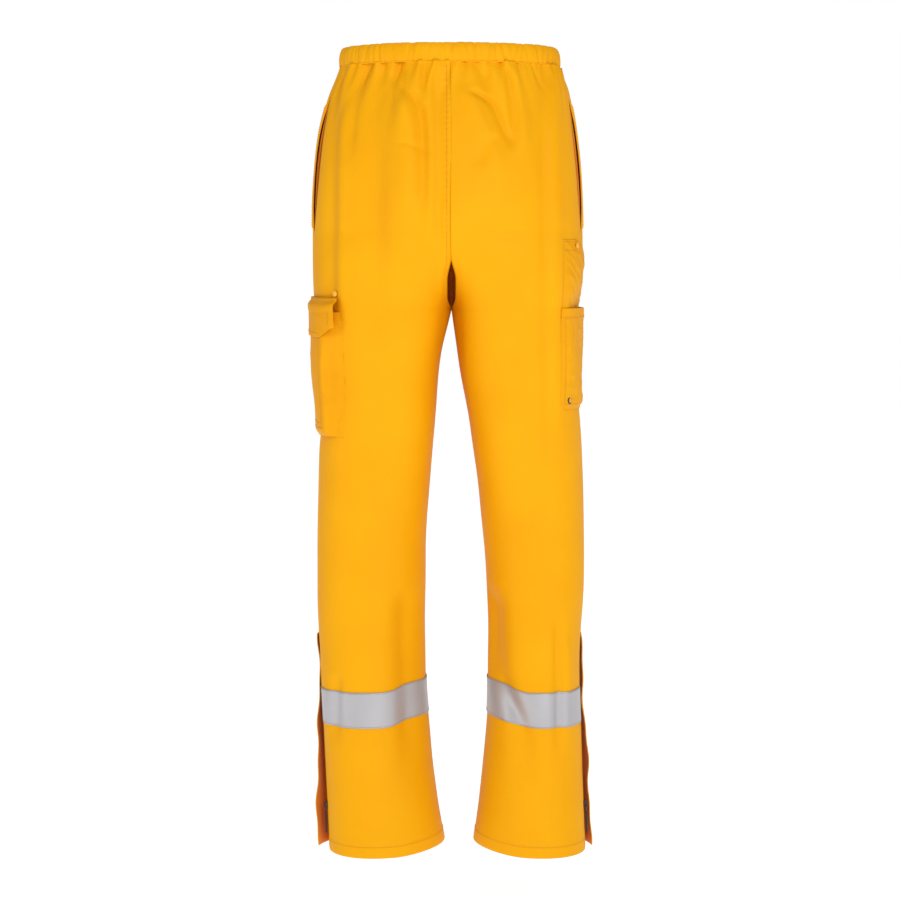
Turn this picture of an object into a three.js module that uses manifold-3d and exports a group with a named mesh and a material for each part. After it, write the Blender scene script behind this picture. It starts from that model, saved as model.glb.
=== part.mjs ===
// Waterproof bunker trousers with an elastic waist, thigh pockets and zipped ankles.
// Millimetres, +Z up. The origin is the middle of the waist opening, level with its top edge.
// The wearer faces +Y, so the seat is on the -Y side and the wearer's right leg is on the +X side.
import * as THREE from 'three';
import { mergeVertices } from 'three/addons/utils/BufferGeometryUtils.js';
import Module from 'manifold-3d';

const wasm = await Module();
wasm.setup();

// ---------------------------------------------------------------- driving dimensions
const OUTSEAM = 1126; // hem to the top of the waistband
const INSEAM = 763; // hem to the crotch
const CROTCH_ARC = 110; // height over which the crotch curve runs from the crotch to the seat
const BAND = 28; // height of the waistband
const CLOTH = 2.4; // thickness that stands for one layer of cloth
const TRIM = 1.2; // thickness of tapes, facings and hems
const GAP = 0.3; // between pieces that are sewn face to face
const EASE = 2; // between the cloth's inner face and the pieces that hang inside it
const KNEE = 487; // height of the knee above the hem
const KNEE_WEDGE = 36; // degrees that each leg piece is cut back behind the knee
const KNEE_SLACK = 3; // between that cut and the cloth that fills it
const ZIP_TOP = 306; // top of the ankle opening
const SLIDER_AT = 62; // height of the zip slider at rest
const STRIPE = { low: 182, high: 232 }; // the reflective tape
const SLIT = { low: 882, high: 1042 }; // the hand pocket's mouth
const ZIP_ANGLE = 8; // degrees behind the outermost line of the ankle
const SIGN = { left: -1, right: 1 };

// Heights run up from the hem. Each profile is [height, size] at the few places that shape it.
const HALF_WIDTH = {
  left: profile([[0, 174], [134, 180], [268, 186], [360, 190], [560, 187], [650, 178],
    [740, 186], [790, 193], [905, 193], [990, 187], [1055, 173], [1096, 158], [1126, 154]]),
  right: profile([[0, 191], [134, 186], [268, 182], [380, 188], [560, 185], [690, 174],
    [765, 175], [805, 182], [905, 182], [990, 176], [1055, 166], [1096, 153], [1126, 149]]),
};
const INNER_GAP = {
  left: profile([[0, 10], [60, 20], [180, 33], [290, 37], [400, 37], [490, 33], [600, 24],
    [700, 14], [INSEAM, 0]]),
  right: profile([[0, 32], [60, 40], [180, 50], [290, 52], [400, 48], [490, 41], [600, 26],
    [700, 9], [INSEAM, 0]]),
};
const HALF_DEPTH = profile([[0, 87], [60, 83], [200, 79], [350, 80], [490, 90], [600, 104],
  [763, 128], [900, 146], [1000, 140], [1096, 120], [1126, 116]]);
const MIDDLE_Y = profile([[0, -3], [300, 0], [500, 8], [763, 2], [900, -5], [1096, 0], [1126, 0]]);
const TURN = profile([[0, 0.2], [300, 0.12], [560, 0]]); // each ankle turns its outer side back
const SQUARENESS = profile([[0, 2.1], [350, 2.2], [600, 2.6], [900, 2.5], [1096, 2.2], [1126, 2.2]]);

// A smooth curve through [x, value] points, level beyond its ends.
function profile(points) {
  const slope = points.map((_, i) => {
    const [x0, v0] = points[Math.max(i - 1, 0)];
    const [x1, v1] = points[Math.min(i + 1, points.length - 1)];
    return (v1 - v0) / (x1 - x0);
  });
  return (x) => {
    const last = points.length - 1;
    if (x <= points[0][0]) return points[0][1];
    if (x >= points[last][0]) return points[last][1];
    const i = points.findIndex(([p]) => p > x) - 1;
    const span = points[i + 1][0] - points[i][0];
    const t = (x - points[i][0]) / span;
    return (2 * t ** 3 - 3 * t ** 2 + 1) * points[i][1] + (t ** 3 - 2 * t ** 2 + t) * span * slope[i]
      + (3 * t ** 2 - 2 * t ** 3) * points[i + 1][1] + (t ** 3 - t ** 2) * span * slope[i + 1];
  };
}

// ---------------------------------------------------------------- the body of the trousers
// Each half is a squared ellipse at every height. Below the crotch it is the whole leg. Above it
// the ellipse slides in to the middle and is cut off at the seat seam.
function section(side, h) {
  const width = HALF_WIDTH[side](h);
  const share = 1 - THREE.MathUtils.clamp((h - INSEAM) / CROTCH_ARC, 0, 1) ** 1.6;
  const legCentre = (width + INNER_GAP[side](h)) / 2;
  const c = h < INSEAM ? legCentre : (width * share) / (1 + share);
  return { c, a: width - c, b: HALF_DEPTH(h), n: SQUARENESS(h), y: MIDDLE_Y(h), turn: TURN(h) };
}

// The point at an angle round one half, in degrees from straight outwards, positive to the back.
function wall(side, angle, h, out = 0) {
  const { c, a, b, n, y, turn } = section(side, h);
  const t = THREE.MathUtils.degToRad(angle);
  const reach = (Math.abs(Math.cos(t) / a) ** n + Math.abs(Math.sin(t) / b) ** n) ** (-1 / n);
  const across = reach * Math.cos(t);
  const back = reach * Math.sin(t);
  const turned = y - back - turn * across;
  const normal = new THREE.Vector2(
    (Math.sign(across) * Math.abs(across / a) ** (n - 1)) / a,
    (Math.sign(back) * Math.abs(back / b) ** (n - 1)) / b,
  ).normalize();
  return new THREE.Vector3(SIGN[side] * (c + across + normal.x * out), turned - normal.y * out, h);
}

// How many degrees a length takes up at one place on the wall.
function degrees(side, angle, h, length) {
  return length / wall(side, angle - 0.5, h).distanceTo(wall(side, angle + 0.5, h));
}

// The angle at which a half meets the seat seam, or the inside leg seam below the crotch.
function middleAngle(side, h) {
  const { c, a, b, n } = section(side, h);
  const across = GAP / 2 - c;
  const share = Math.abs(across) / a;
  if (share >= 1) return 180 - degrees(side, 179, h, GAP / 2);
  return THREE.MathUtils.radToDeg(Math.atan2(b * (1 - share ** n) ** (1 / n), across));
}

// The angle at which the back of a half is a given distance from the middle of the body.
function backAngle(side, x, h) {
  const { c, a, b, n } = section(side, h);
  return THREE.MathUtils.radToDeg(Math.atan2(b * (1 - Math.abs((x - c) / a) ** n) ** (1 / n), x - c));
}

// The side seam runs down from the hand pocket to the ankle zip.
function seamAngle(side, h) {
  return THREE.MathUtils.lerp(ZIP_ANGLE, 11, THREE.MathUtils.smoothstep(h, ZIP_TOP, 860));
}

// Half the width of the gap in the side seam: the hand pocket's mouth, and the ankle opening.
function seamOpening(h) {
  const slit = THREE.MathUtils.clamp((h - SLIT.low) / (SLIT.high - SLIT.low), 0, 1);
  const ankle = THREE.MathUtils.smoothstep(ZIP_TOP - h, 0, 30);
  return GAP / 2 + 6 * Math.sin(Math.PI * slit) + 4.6 * ankle;
}

// ---------------------------------------------------------------- shaping helpers
// A box whose corners (0..1, 0..1, 0..1) are carried to their places by a function.
function patch(place, columns, rows, layers = 1) {
  const geometry = new THREE.BoxGeometry(1, 1, 1, columns, rows, layers);
  turnDiagonals(geometry, 4);
  geometry.translate(0.5, 0.5, 0.5);
  geometry.deleteAttribute('normal');
  geometry.deleteAttribute('uv');
  const position = geometry.attributes.position;
  for (let i = 0; i < position.count; i++) {
    const p = place(position.getX(i), position.getY(i), position.getZ(i));
    position.setXYZ(i, p.x, p.y, p.z);
  }
  return facingOut(mergeVertices(geometry, 1e-4));
}

// Splits one side of a box along its other diagonals, so that two facing walls crease alike.
function turnDiagonals(geometry, side) {
  const index = geometry.index.array;
  const { start, count } = geometry.groups[side];
  for (let i = start; i < start + count; i += 6) {
    const [a, b, d, , c] = index.subarray(i, i + 5);
    index.set([a, b, c, a, c, d], i);
  }
}

// Turns every face round if the closed mesh holds a negative volume.
function facingOut(geometry) {
  const position = geometry.attributes.position;
  const index = geometry.index.array;
  const corner = (i) => new THREE.Vector3().fromBufferAttribute(position, index[i]);
  let volume = 0;
  for (let i = 0; i < index.length; i += 3) {
    volume += corner(i).dot(corner(i + 1).cross(corner(i + 2)));
  }
  if (volume < 0) geometry.index.array.reverse();
  return geometry;
}

// A patch lying on one half of the trousers: angles, heights and distance off the wall.
function onWall(side, { angles, heights, out, columns, rows, layers }) {
  const lerp = THREE.MathUtils.lerp;
  return patch((u, v, w) => {
    const nominal = lerp(...heights, v);
    const [from, to] = angles(nominal);
    const angle = lerp(from, to, u);
    return wall(side, angle, nominal, lerp(...out, w));
  }, columns, rows, layers);
}

// A closed ring round the waist from an outline of [distance off the wall, height] points.
function waistRing(outline, segments) {
  const far = 1000;
  const points = outline.concat([outline[0]]).map(([out, h]) => new THREE.Vector2(far + out, h));
  const geometry = new THREE.LatheGeometry(points, segments);
  geometry.deleteAttribute('normal');
  geometry.deleteAttribute('uv');
  const position = geometry.attributes.position;
  for (let i = 0; i < position.count; i++) {
    const across = position.getX(i);
    const back = position.getZ(i);
    const side = across < 0 ? 'left' : 'right';
    const angle = THREE.MathUtils.radToDeg(Math.atan2(back, Math.abs(across)));
    const out = Math.hypot(across, back) - far;
    const p = wall(side, angle, position.getY(i), out);
    position.setXYZ(i, p.x, p.y, p.z);
  }
  return facingOut(mergeVertices(geometry, 1e-3));
}

function toManifold(geometry) {
  const clean = geometry.clone();
  clean.deleteAttribute('normal');
  clean.deleteAttribute('uv');
  const merged = mergeVertices(clean, 1e-4);
  return new wasm.Manifold(new wasm.Mesh({
    numProp: 3,
    vertProperties: merged.attributes.position.array,
    triVerts: new Uint32Array(merged.index.array),
  }));
}

function toGeometry(manifold) {
  const mesh = manifold.getMesh();
  const geometry = new THREE.BufferGeometry();
  geometry.setAttribute('position', new THREE.BufferAttribute(mesh.vertProperties, 3));
  geometry.setIndex(new THREE.BufferAttribute(mesh.triVerts, 1));
  return geometry;
}

function joined(...geometries) {
  return toGeometry(geometries.map(toManifold).reduce((sum, next) => sum.add(next)));
}

function box(x0, x1, y0, y1, z0, z1) {
  const geometry = new THREE.BoxGeometry(x1 - x0, y1 - y0, z1 - z0);
  return geometry.translate((x0 + x1) / 2, (y0 + y1) / 2, (z0 + z1) / 2);
}

// Stands a geometry on the wall: its +Z points off the wall, its +Y points up.
function standing(geometry, side, angle, h, out) {
  const foot = wall(side, angle, h, out);
  const off = wall(side, angle, h, out + 1).sub(foot).normalize();
  const up = new THREE.Vector3(0, 0, 1);
  const turn = new THREE.Matrix4().makeBasis(new THREE.Vector3().crossVectors(up, off), up, off);
  return geometry.applyMatrix4(turn.setPosition(foot));
}

// ---------------------------------------------------------------- materials
const finish = (color, roughness, metalness = 0) => ({ color, roughness, metalness });
const SHELL = finish(0xfbb41a, 0.6);
const LINING = finish(0xd97a24, 0.8);
const SILVER = finish(0xb0afb2, 0.45, 0.2);
const ZIP = finish(0x2a2320, 0.5);
const METAL = finish(0x9a9a9a, 0.35, 0.9);
const ELASTIC = finish(0xe9e6df, 0.9);
const BLACK = finish(0x1b1b20, 0.45);

const trousers = new THREE.Group();
trousers.position.z = -OUTSEAM;

function add(name, geometry, look) {
  const mesh = new THREE.Mesh(geometry, new THREE.MeshStandardMaterial(look));
  mesh.name = name;
  trousers.add(mesh);
}

// ---------------------------------------------------------------- leg and seat panels
const backAngles = (side) => (h) => {
  const seam = seamAngle(side, h);
  return [seam + degrees(side, seam, h, seamOpening(h)), middleAngle(side, h)];
};
const frontAngles = (side) => (h) => {
  const seam = seamAngle(side, h);
  return [-middleAngle(side, h), seam - degrees(side, seam, h, seamOpening(h))];
};

// How far a leg piece is cut back from the knee line, so that the knee can fold.
function kneeCut(side, angle) {
  const behind = Math.max(0, section(side, KNEE).y - wall(side, angle, KNEE).y);
  return GAP / 2 + behind * Math.tan(THREE.MathUtils.degToRad(KNEE_WEDGE));
}

// One cloth panel through a list of heights. The edge at the knee follows the cut.
function panel(side, angles, heights) {
  const lerp = THREE.MathUtils.lerp;
  const low = heights[0];
  const high = heights[heights.length - 1];
  return patch((column, v, w) => {
    const u = side === 'right' ? 1 - column : column; // so that the two legs mirror each other
    const row = heights[Math.round(v * (heights.length - 1))];
    const cut = kneeCut(side, lerp(...angles(row), u));
    const from = low === KNEE ? low + cut : low;
    const to = high === KNEE ? high - cut : high;
    const h = THREE.MathUtils.mapLinear(row, low, high, from, to);
    return wall(side, lerp(...angles(h), u), h, -CLOTH * w);
  }, PANEL_COLUMNS, heights.length - 1);
}

const PANEL_COLUMNS = 11;
const UPPER = [0, 88, 150, 205, 235, 262, 282, 302, 322, 345, 370, 395, 450, 510, 570, 608.7].map(
  (above) => KNEE + above,
);
const LOWER = [0, 90, 180, 269, ZIP_TOP, 390, KNEE];
for (const side of ['left', 'right']) {
  add(`${side}_back_panel`, panel(side, backAngles(side), UPPER), SHELL);
  add(`${side}_front_panel`, panel(side, frontAngles(side), UPPER), SHELL);
  add(`${side}_lower_back_panel`, panel(side, backAngles(side), LOWER), SHELL);
  add(`${side}_lower_front_panel`, panel(side, frontAngles(side), LOWER), SHELL);
}

// The cloth behind the knee fills the cut at rest, and crumples as the knee folds.
function kneeBack(side) {
  return patch((u, v, w) => {
    const angle = THREE.MathUtils.lerp(10, 170, u);
    const half = kneeCut(side, angle) - KNEE_SLACK;
    return wall(side, angle, KNEE + (2 * v - 1) * half, -CLOTH * w);
  }, 14, 2);
}
for (const side of ['left', 'right']) add(`${side}_knee_back`, kneeBack(side), SHELL);

// ---------------------------------------------------------------- waistband
// The casing is folded over the elastic: an outer wall, a top fold and an inner wall.
const CASING_DEPTH = 6.2;
const BAND_LOW = OUTSEAM - BAND;
const BAND_RING = 44;
add('waistband_casing', waistRing([
  [0, BAND_LOW], [0, OUTSEAM], [-CASING_DEPTH, OUTSEAM], [-CASING_DEPTH, BAND_LOW],
  [-CASING_DEPTH + TRIM, BAND_LOW], [-CASING_DEPTH + TRIM, OUTSEAM - TRIM],
  [-TRIM, OUTSEAM - TRIM], [-TRIM, BAND_LOW],
], BAND_RING), SHELL);
add('waist_elastic', waistRing([
  [-2, BAND_LOW + 2], [-2, OUTSEAM - 2.5], [-4.2, OUTSEAM - 2.5], [-4.2, BAND_LOW + 2],
], BAND_RING), ELASTIC);

// Heat-sealed tape covers the seat seam inside each half, from the waistband to the crotch.
for (const side of ['left', 'right']) {
  add(`${side}_seat_seam_tape`, onWall(side, {
    angles: (h) => {
      const middle = middleAngle(side, h);
      return [middle - degrees(side, middle - 3, h, 11), middle - degrees(side, middle - 1, h, 1.5)];
    },
    heights: [INSEAM + 90, BAND_LOW - 12],
    out: [-CLOTH - 2 * EASE, -CLOTH - 2 * EASE - TRIM],
    columns: 1,
    rows: 8,
  }), LINING);
}

// ---------------------------------------------------------------- hand pockets
// A flat pouch hangs inside the side seam. Its mouth lines up with the slit in the seam.
function handPocketBag(side) {
  const grid = { columns: 5, rows: 4 };
  const pouch = { ...grid, heights: [780, 1052], out: [-CLOTH - 2 * EASE, -CLOTH - 22] };
  const hollow = { ...grid, heights: [782, SLIT.high], out: [-CLOTH - 2 * EASE - TRIM, -CLOTH - 20.8] };
  const outside = onWall(side, { ...pouch, angles: (h) => [-42, seamAngle(side, h) + 4] });
  const inside = onWall(side, { ...hollow, angles: (h) => [-40.5, seamAngle(side, h) + 2.6] });
  const mouth = onWall(side, {
    angles: (h) => [seamAngle(side, h) - 2.4, seamAngle(side, h) + 2.2],
    heights: [SLIT.low, SLIT.high],
    out: [-CLOTH - 8, 0],
    columns: 1,
    rows: 4,
  });
  return toGeometry(toManifold(outside).subtract(toManifold(inside)).subtract(toManifold(mouth)));
}
for (const side of ['left', 'right']) {
  add(`${side}_hand_pocket_bag`, handPocketBag(side), LINING);
  // The welt is the folded strip along the front edge of the mouth.
  add(`${side}_hand_pocket_welt`, onWall(side, {
    angles: (h) => {
      const edge = seamAngle(side, h) - degrees(side, 10, h, seamOpening(h));
      return [edge - degrees(side, 8, h, 12), edge];
    },
    heights: [SLIT.low - 4, SLIT.high + 4],
    out: [GAP, GAP + TRIM],
    columns: 2,
    rows: 6,
  }), SHELL);
}

// ---------------------------------------------------------------- cargo pocket, left thigh
// The front face stands off the leg on a gusset, which is widest at the back of the pocket.
const CARGO = { low: 588, mouth: 762, face: [-30, 54], foot: [-38, 64], back: 2 };
const FLAP = { seam: 780, low: 728, front: -31, rear: [153, 160], over: 3.4, thick: 1.4 };

function cargoOff(angle, h) {
  const up = THREE.MathUtils.mapLinear(h, CARGO.low, CARGO.mouth, 0, 1);
  const bulge = 8 * Math.sin(Math.PI * THREE.MathUtils.clamp(up, 0, 1));
  return 8 + bulge + 5 * THREE.MathUtils.smoothstep(angle, 15, CARGO.face[1]);
}

function cargoFront() {
  return patch((u, v, w) => {
    const angle = THREE.MathUtils.lerp(...CARGO.face, u);
    const h = THREE.MathUtils.lerp(CARGO.low, CARGO.mouth, v);
    return wall('left', angle, h, cargoOff(angle, h) + TRIM * w);
  }, 10, 5);
}

// A wall of the gusset, from its foot on the leg to the edge of the front face. Across the
// pocket it runs from u0 to u1, and its thickness is turned into the pocket.
function gussetWall([u0, u1], [h0, h1], columns, rows) {
  return patch((u, v, w) => {
    const across = THREE.MathUtils.lerp(u0, u1, u);
    const h = THREE.MathUtils.lerp(h0, h1, v);
    const edge = THREE.MathUtils.lerp(...CARGO.face, across);
    const foot = wall('left', THREE.MathUtils.lerp(...CARGO.foot, across), h, EASE);
    return foot.lerp(wall('left', edge, h, cargoOff(edge, h) - 0.5 * EASE), w);
  }, columns, rows);
}

// The flap is sewn to the leg above the mouth, rounds the pocket's top and hangs in front of it.
function cargoFlap() {
  const line = new THREE.SplineCurve([[0, 1], [-2, 0.45], [-11, 0.95], [-26, 1], [-52, 1]].map(
    ([drop, share]) => new THREE.Vector2(drop, share),
  ));
  return patch((u, v, w) => {
    const at = line.getPoint(v);
    const h = FLAP.seam + at.x;
    const rear = backAngle('left', THREE.MathUtils.lerp(...FLAP.rear, v), h);
    const angle = THREE.MathUtils.lerp(FLAP.front, rear, u);
    const out = v === 0 ? 1 : cargoOff(angle, h) * at.y + FLAP.over;
    return wall('left', angle, h, out + FLAP.thick * w);
  }, 10, 6);
}

add('cargo_pocket_front', cargoFront(), SHELL);
add('cargo_pocket_gusset', joined(
  gussetWall([0, 0.022], [CARGO.low, CARGO.mouth], 1, 5),
  gussetWall([0.978, 1], [CARGO.low, CARGO.mouth], 1, 5),
  gussetWall([0, 1], [CARGO.low, CARGO.low + CARGO.back], 16, 1),
), SHELL);
add('cargo_flap', cargoFlap(), SHELL);

// ---------------------------------------------------------------- tool pocket, right thigh
const TOOL = {
  low: 627, mouth: 767, top: 861, rear: 148, front: -24, corner: 0.8, band: 14, off: 2.4, face: 187.5,
};

const toolAngle = (u, h) => THREE.MathUtils.lerp(TOOL.front, backAngle('right', TOOL.rear, h), u);

// The upper layer is cut away in front of its top corner, for a slanting mouth.
function toolUpper() {
  return patch((u, v, w) => {
    const slant = THREE.MathUtils.clamp((TOOL.corner - u) / TOOL.corner, 0, 1);
    const top = THREE.MathUtils.lerp(TOOL.top, TOOL.mouth + 14, slant);
    const h = THREE.MathUtils.lerp(TOOL.low, top, v);
    return wall('right', toolAngle(u, h), h, TOOL.off + TRIM * w);
  }, 8, 8);
}

// The lower pocket stands off the upper layer in the middle, which leaves room for tools.
function toolOff(across, h) {
  const edge = TOOL.off + TRIM + 1;
  return edge + (TOOL.face - HALF_WIDTH.right(h) - edge) * Math.sin(Math.PI * across) ** 0.6;
}
function toolLayer(low, high, start, thick) {
  return patch((u, v, w) => {
    const h = THREE.MathUtils.lerp(low, high, v);
    return wall('right', toolAngle(u, h), h, toolOff(u, h) + start + thick * w);
  }, 10, Math.ceil((high - low) / 36));
}
const BAND_START = TRIM + 2 * GAP;
add('tool_pocket_upper', toolUpper(), SHELL);
add('tool_pocket_lower', toolLayer(TOOL.low, TOOL.mouth, 0, TRIM), SHELL);
add('tool_pocket_mouth_band', toolLayer(TOOL.mouth - TOOL.band, TOOL.mouth, BAND_START, 0.8), SHELL);

// ---------------------------------------------------------------- rivets and eyelet
function rivetHead(radius) {
  const outline = [[0, 0], [radius, 0], [radius, 0.7], [radius * 0.6, 1.3], [0, 1.5]];
  const head = new THREE.LatheGeometry(outline.map((p) => new THREE.Vector2(...p)), 14);
  return head.rotateX(Math.PI / 2);
}
function eyeletRing(outer, inner, thickness) {
  const outline = [[inner, 0], [outer, 0], [outer, thickness * 0.5], [(outer + inner) / 2, thickness],
    [inner, thickness * 0.5], [inner, 0]];
  const ring = new THREE.LatheGeometry(outline.map((p) => new THREE.Vector2(...p)), 16);
  return ring.rotateX(Math.PI / 2);
}
const toolRivet = standing(
  rivetHead(4.4), 'right', toolAngle(TOOL.corner, TOOL.top - 8), TOOL.top - 8, TOOL.off + TRIM + 2 * GAP,
);
add('tool_pocket_rivet', facingOut(mergeBare(toolRivet)), SHELL);
const drain = standing(
  eyeletRing(5.2, 2.6, 1.4), 'right', toolAngle(0.9, 640), 640, toolOff(0.9, 640) + TRIM + 4 * GAP,
);
add('tool_pocket_eyelet', facingOut(mergeBare(drain)), BLACK);

// A rivet holds the flap's rear corner to the leg, just above the hinge seam.
const rivetHeight = FLAP.seam + 7;
const cornerRivet = standing(rivetHead(4), 'left', backAngle('left', 158, rivetHeight), rivetHeight, GAP);
add('cargo_flap_rivet', facingOut(mergeBare(cornerRivet)), SHELL);

function mergeBare(geometry) {
  geometry.deleteAttribute('normal');
  geometry.deleteAttribute('uv');
  return mergeVertices(geometry, 1e-4);
}

// ---------------------------------------------------------------- ankles
const CHAIN_GAP = 0.7; // from the zip's middle line to each row of teeth
const TOOTH = 2.6; // width of one row of teeth
const TAPE_WIDTH = 11;
const TAPE_AT = -CLOTH - 2.4 * EASE; // the tape's inner face, measured off the leg
const TEETH_AT = TAPE_AT + 0.8 + GAP;

// The zip's own frame at the ankle opening: +X across the tape, +Y up the zip, +Z off the leg.
// The zip is straight from its lower end to its upper end.
const ZIP_LENGTH = 268;
function zipFrame(side) {
  const foot = wall(side, ZIP_ANGLE, 0);
  const head = wall(side, ZIP_ANGLE, ZIP_LENGTH);
  const up = head.clone().sub(foot).normalize();
  const outwards = wall(side, ZIP_ANGLE, 0, 1).sub(foot);
  const along = new THREE.Vector3().crossVectors(up, outwards).normalize();
  const off = new THREE.Vector3().crossVectors(along, up);
  return new THREE.Matrix4().makeBasis(along, up, off).setPosition(foot);
}

// One strip of the zip: +1 is the row at the back of the opening, -1 the row at its front.
function zipStrip(side, row, from, to, low, high) {
  const across = [from, to].map((distance) => -SIGN[side] * row * distance);
  const strip = box(Math.min(...across), Math.max(...across), 4, ZIP_LENGTH, low, high);
  return strip.applyMatrix4(zipFrame(side));
}

// The slider has a plate over the teeth and a plate under the tape, joined by a thin wedge
// that runs between the two rows. A bridge on top holds the pull.
const SLIDER = { width: 9, length: 13, top: 1.9, under: 1.6 };
const BRIDGE = { width: 2.2, length: 8, clear: 1.7, thick: 1.0 };
const TOP_AT = 0.2;
const BRIDGE_AT = TOP_AT + SLIDER.top;
const UNDER_AT = TAPE_AT - 0.8;
function slider(side) {
  const half = SLIDER.width / 2;
  const end = SLIDER.length / 2;
  const post = BRIDGE.length / 2;
  const arch = BRIDGE.width / 2;
  const above = BRIDGE_AT + BRIDGE.clear;
  const body = joined(
    box(-half, half, -end, end, TOP_AT, BRIDGE_AT),
    box(-half, half, -end, end, UNDER_AT - SLIDER.under, UNDER_AT),
    box(-0.35, 0.35, -end * 0.6, end * 0.8, UNDER_AT - 0.2, TOP_AT + 0.2),
    box(-arch, arch, -post, -post + 1, BRIDGE_AT - 0.2, above + 0.2),
    box(-arch, arch, post - 1, post, BRIDGE_AT - 0.2, above + 0.2),
    box(-arch, arch, -post, post, above, above + BRIDGE.thick),
  );
  return body.translate(0, SLIDER_AT, 0).applyMatrix4(zipFrame(side));
}

// The pull is a loop round the bridge and a moulded tongue that hangs from it.
const PULL = { bar: 1.0, loop: 7.5, inside: 5.2, width: 7.4, tongue: 40 };
function zipPull(side) {
  const level = BRIDGE_AT + 0.35;
  const half = PULL.width / 2;
  const inner = PULL.inside / 2;
  const body = joined(
    box(-half, half, -0.5, 0.5, level, level + PULL.bar),
    box(-half, -inner, -PULL.loop, 0.5, level, level + PULL.bar),
    box(inner, half, -PULL.loop, 0.5, level, level + PULL.bar),
    box(-half, half, -PULL.loop - 2, -PULL.loop, level, level + PULL.bar),
    box(-2.6, 2.6, -PULL.tongue, -PULL.loop - 1, level - 0.2, level + PULL.bar + 0.6),
  );
  return body.translate(0, SLIDER_AT, 0).applyMatrix4(zipFrame(side));
}

// The storm flap is sewn to the leg in front of the zip, along a straight line. From there it
// stands out over the zip, loosely open.
const STORM = { low: 2, high: ZIP_TOP - 2, before: 39, width: 33, off: 1, thick: 1.4 };
const SPLAY = { left: [17, 3], right: [9, 3] }; // how far its free edge stands out, low and high
function stormFlap(side) {
  const seam = [STORM.low, STORM.high].map((h) => {
    const angle = ZIP_ANGLE;
    return wall(side, angle - degrees(side, angle - 15, h, STORM.before), h, STORM.off);
  });
  return patch((u, v, w) => {
    const at = seam[0].clone().lerp(seam[1], v);
    const bow = 1.5 * Math.sin(Math.PI * u);
    at.x += SIGN[side] * (THREE.MathUtils.lerp(...SPLAY[side], v) * u + bow + STORM.thick * w);
    at.y -= STORM.width * u;
    return at;
  }, 5, 1);
}

for (const side of ['left', 'right']) {
  const seam = ZIP_ANGLE;
  const around = (h) => {
    const clear = degrees(side, seam, h, seamOpening(h) + 3);
    return [seam + clear, seam + 360 - clear];
  };
  add(`${side}_reflective_tape`, onWall(side, {
    angles: (h) => {
      const [from, to] = around(h);
      return [from, to - degrees(side, seam - 15, h, STORM.before - 3)];
    },
    heights: [STRIPE.low, STRIPE.high],
    out: [1.5 * TRIM, 2.2 * TRIM],
    columns: 40,
    rows: 1,
  }), SILVER);
  add(`${side}_hem_facing`, onWall(side, {
    angles: (h) => {
      const clear = degrees(side, seam, h, 17);
      return [seam + clear, seam + 360 - clear];
    },
    heights: [0.4, 18],
    out: [-CLOTH - EASE, -CLOTH - EASE - TRIM],
    columns: 28,
    rows: 1,
  }), SHELL);
  for (const [row, sign] of [['back', 1], ['front', -1]]) {
    const tape = zipStrip(side, sign, CHAIN_GAP, TAPE_WIDTH, TAPE_AT, TAPE_AT + 0.8);
    const teeth = zipStrip(side, sign, CHAIN_GAP, CHAIN_GAP + TOOTH, TEETH_AT, -0.8);
    add(`${side}_zip_tape_${row}`, tape, ZIP);
    add(`${side}_zip_teeth_${row}`, teeth, ZIP);
  }
  add(`${side}_zip_slider`, slider(side), METAL);
  add(`${side}_zip_pull`, zipPull(side), BLACK);
  add(`${side}_storm_flap`, stormFlap(side), SHELL);
}

export default trousers;
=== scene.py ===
# %% [markdown]
# # Waterproof bunker trousers
#
# These are light waterproof trousers that a firefighter or a road worker pulls on over other
# clothes. They have an elastic waist, a slit to each hand pocket, a bellows pocket on the left
# thigh, a flat tool pocket on the right thigh, reflective tape at the shins and a zip up each
# ankle under a storm flap.
#
# The first cell loads the fixed frame. Every piece below is made in metres in that frame, with
# +Z up, the wearer facing +Y, and the wearer's right leg on the +X side. The origin is the middle
# of the waist opening.

# %% Load the frame
import math

import bpy
import numpy as np
from mathutils import Matrix, Vector


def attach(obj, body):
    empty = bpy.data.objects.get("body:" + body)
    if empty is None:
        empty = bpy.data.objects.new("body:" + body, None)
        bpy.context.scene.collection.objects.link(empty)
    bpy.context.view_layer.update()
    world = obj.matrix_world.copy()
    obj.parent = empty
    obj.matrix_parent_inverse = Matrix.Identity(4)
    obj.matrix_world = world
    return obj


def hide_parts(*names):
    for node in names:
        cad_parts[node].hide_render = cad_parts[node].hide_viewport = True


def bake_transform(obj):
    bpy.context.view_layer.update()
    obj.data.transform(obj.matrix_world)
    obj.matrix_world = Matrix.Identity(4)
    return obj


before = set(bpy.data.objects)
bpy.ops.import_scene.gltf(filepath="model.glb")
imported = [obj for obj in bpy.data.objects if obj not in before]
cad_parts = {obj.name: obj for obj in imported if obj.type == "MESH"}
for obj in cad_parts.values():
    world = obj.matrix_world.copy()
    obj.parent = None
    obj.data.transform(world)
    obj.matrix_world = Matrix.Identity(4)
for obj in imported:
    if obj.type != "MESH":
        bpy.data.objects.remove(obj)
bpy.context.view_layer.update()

for startup in ("Cube", "Light", "Camera"):
    if startup in bpy.data.objects:
        bpy.data.objects.remove(bpy.data.objects[startup])

# %% [markdown]
# ## Camera
#
# The trousers are looked at squarely from behind, from a little over three metres away and from
# about thigh height, with a long lens. A far camera keeps the two legs upright and equal. It is
# tilted down a little instead of being shifted, so that views from other sides are framed in the
# same way.

# %% Camera
CAMERA_PLACE, LOOK_AT, LENS_DEGREES = (-0.002, -3.2, -0.3), (-0.002, 0, -0.561), 22.45


def into_scene(obj):
    bpy.context.scene.collection.objects.link(obj)
    return obj


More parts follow.
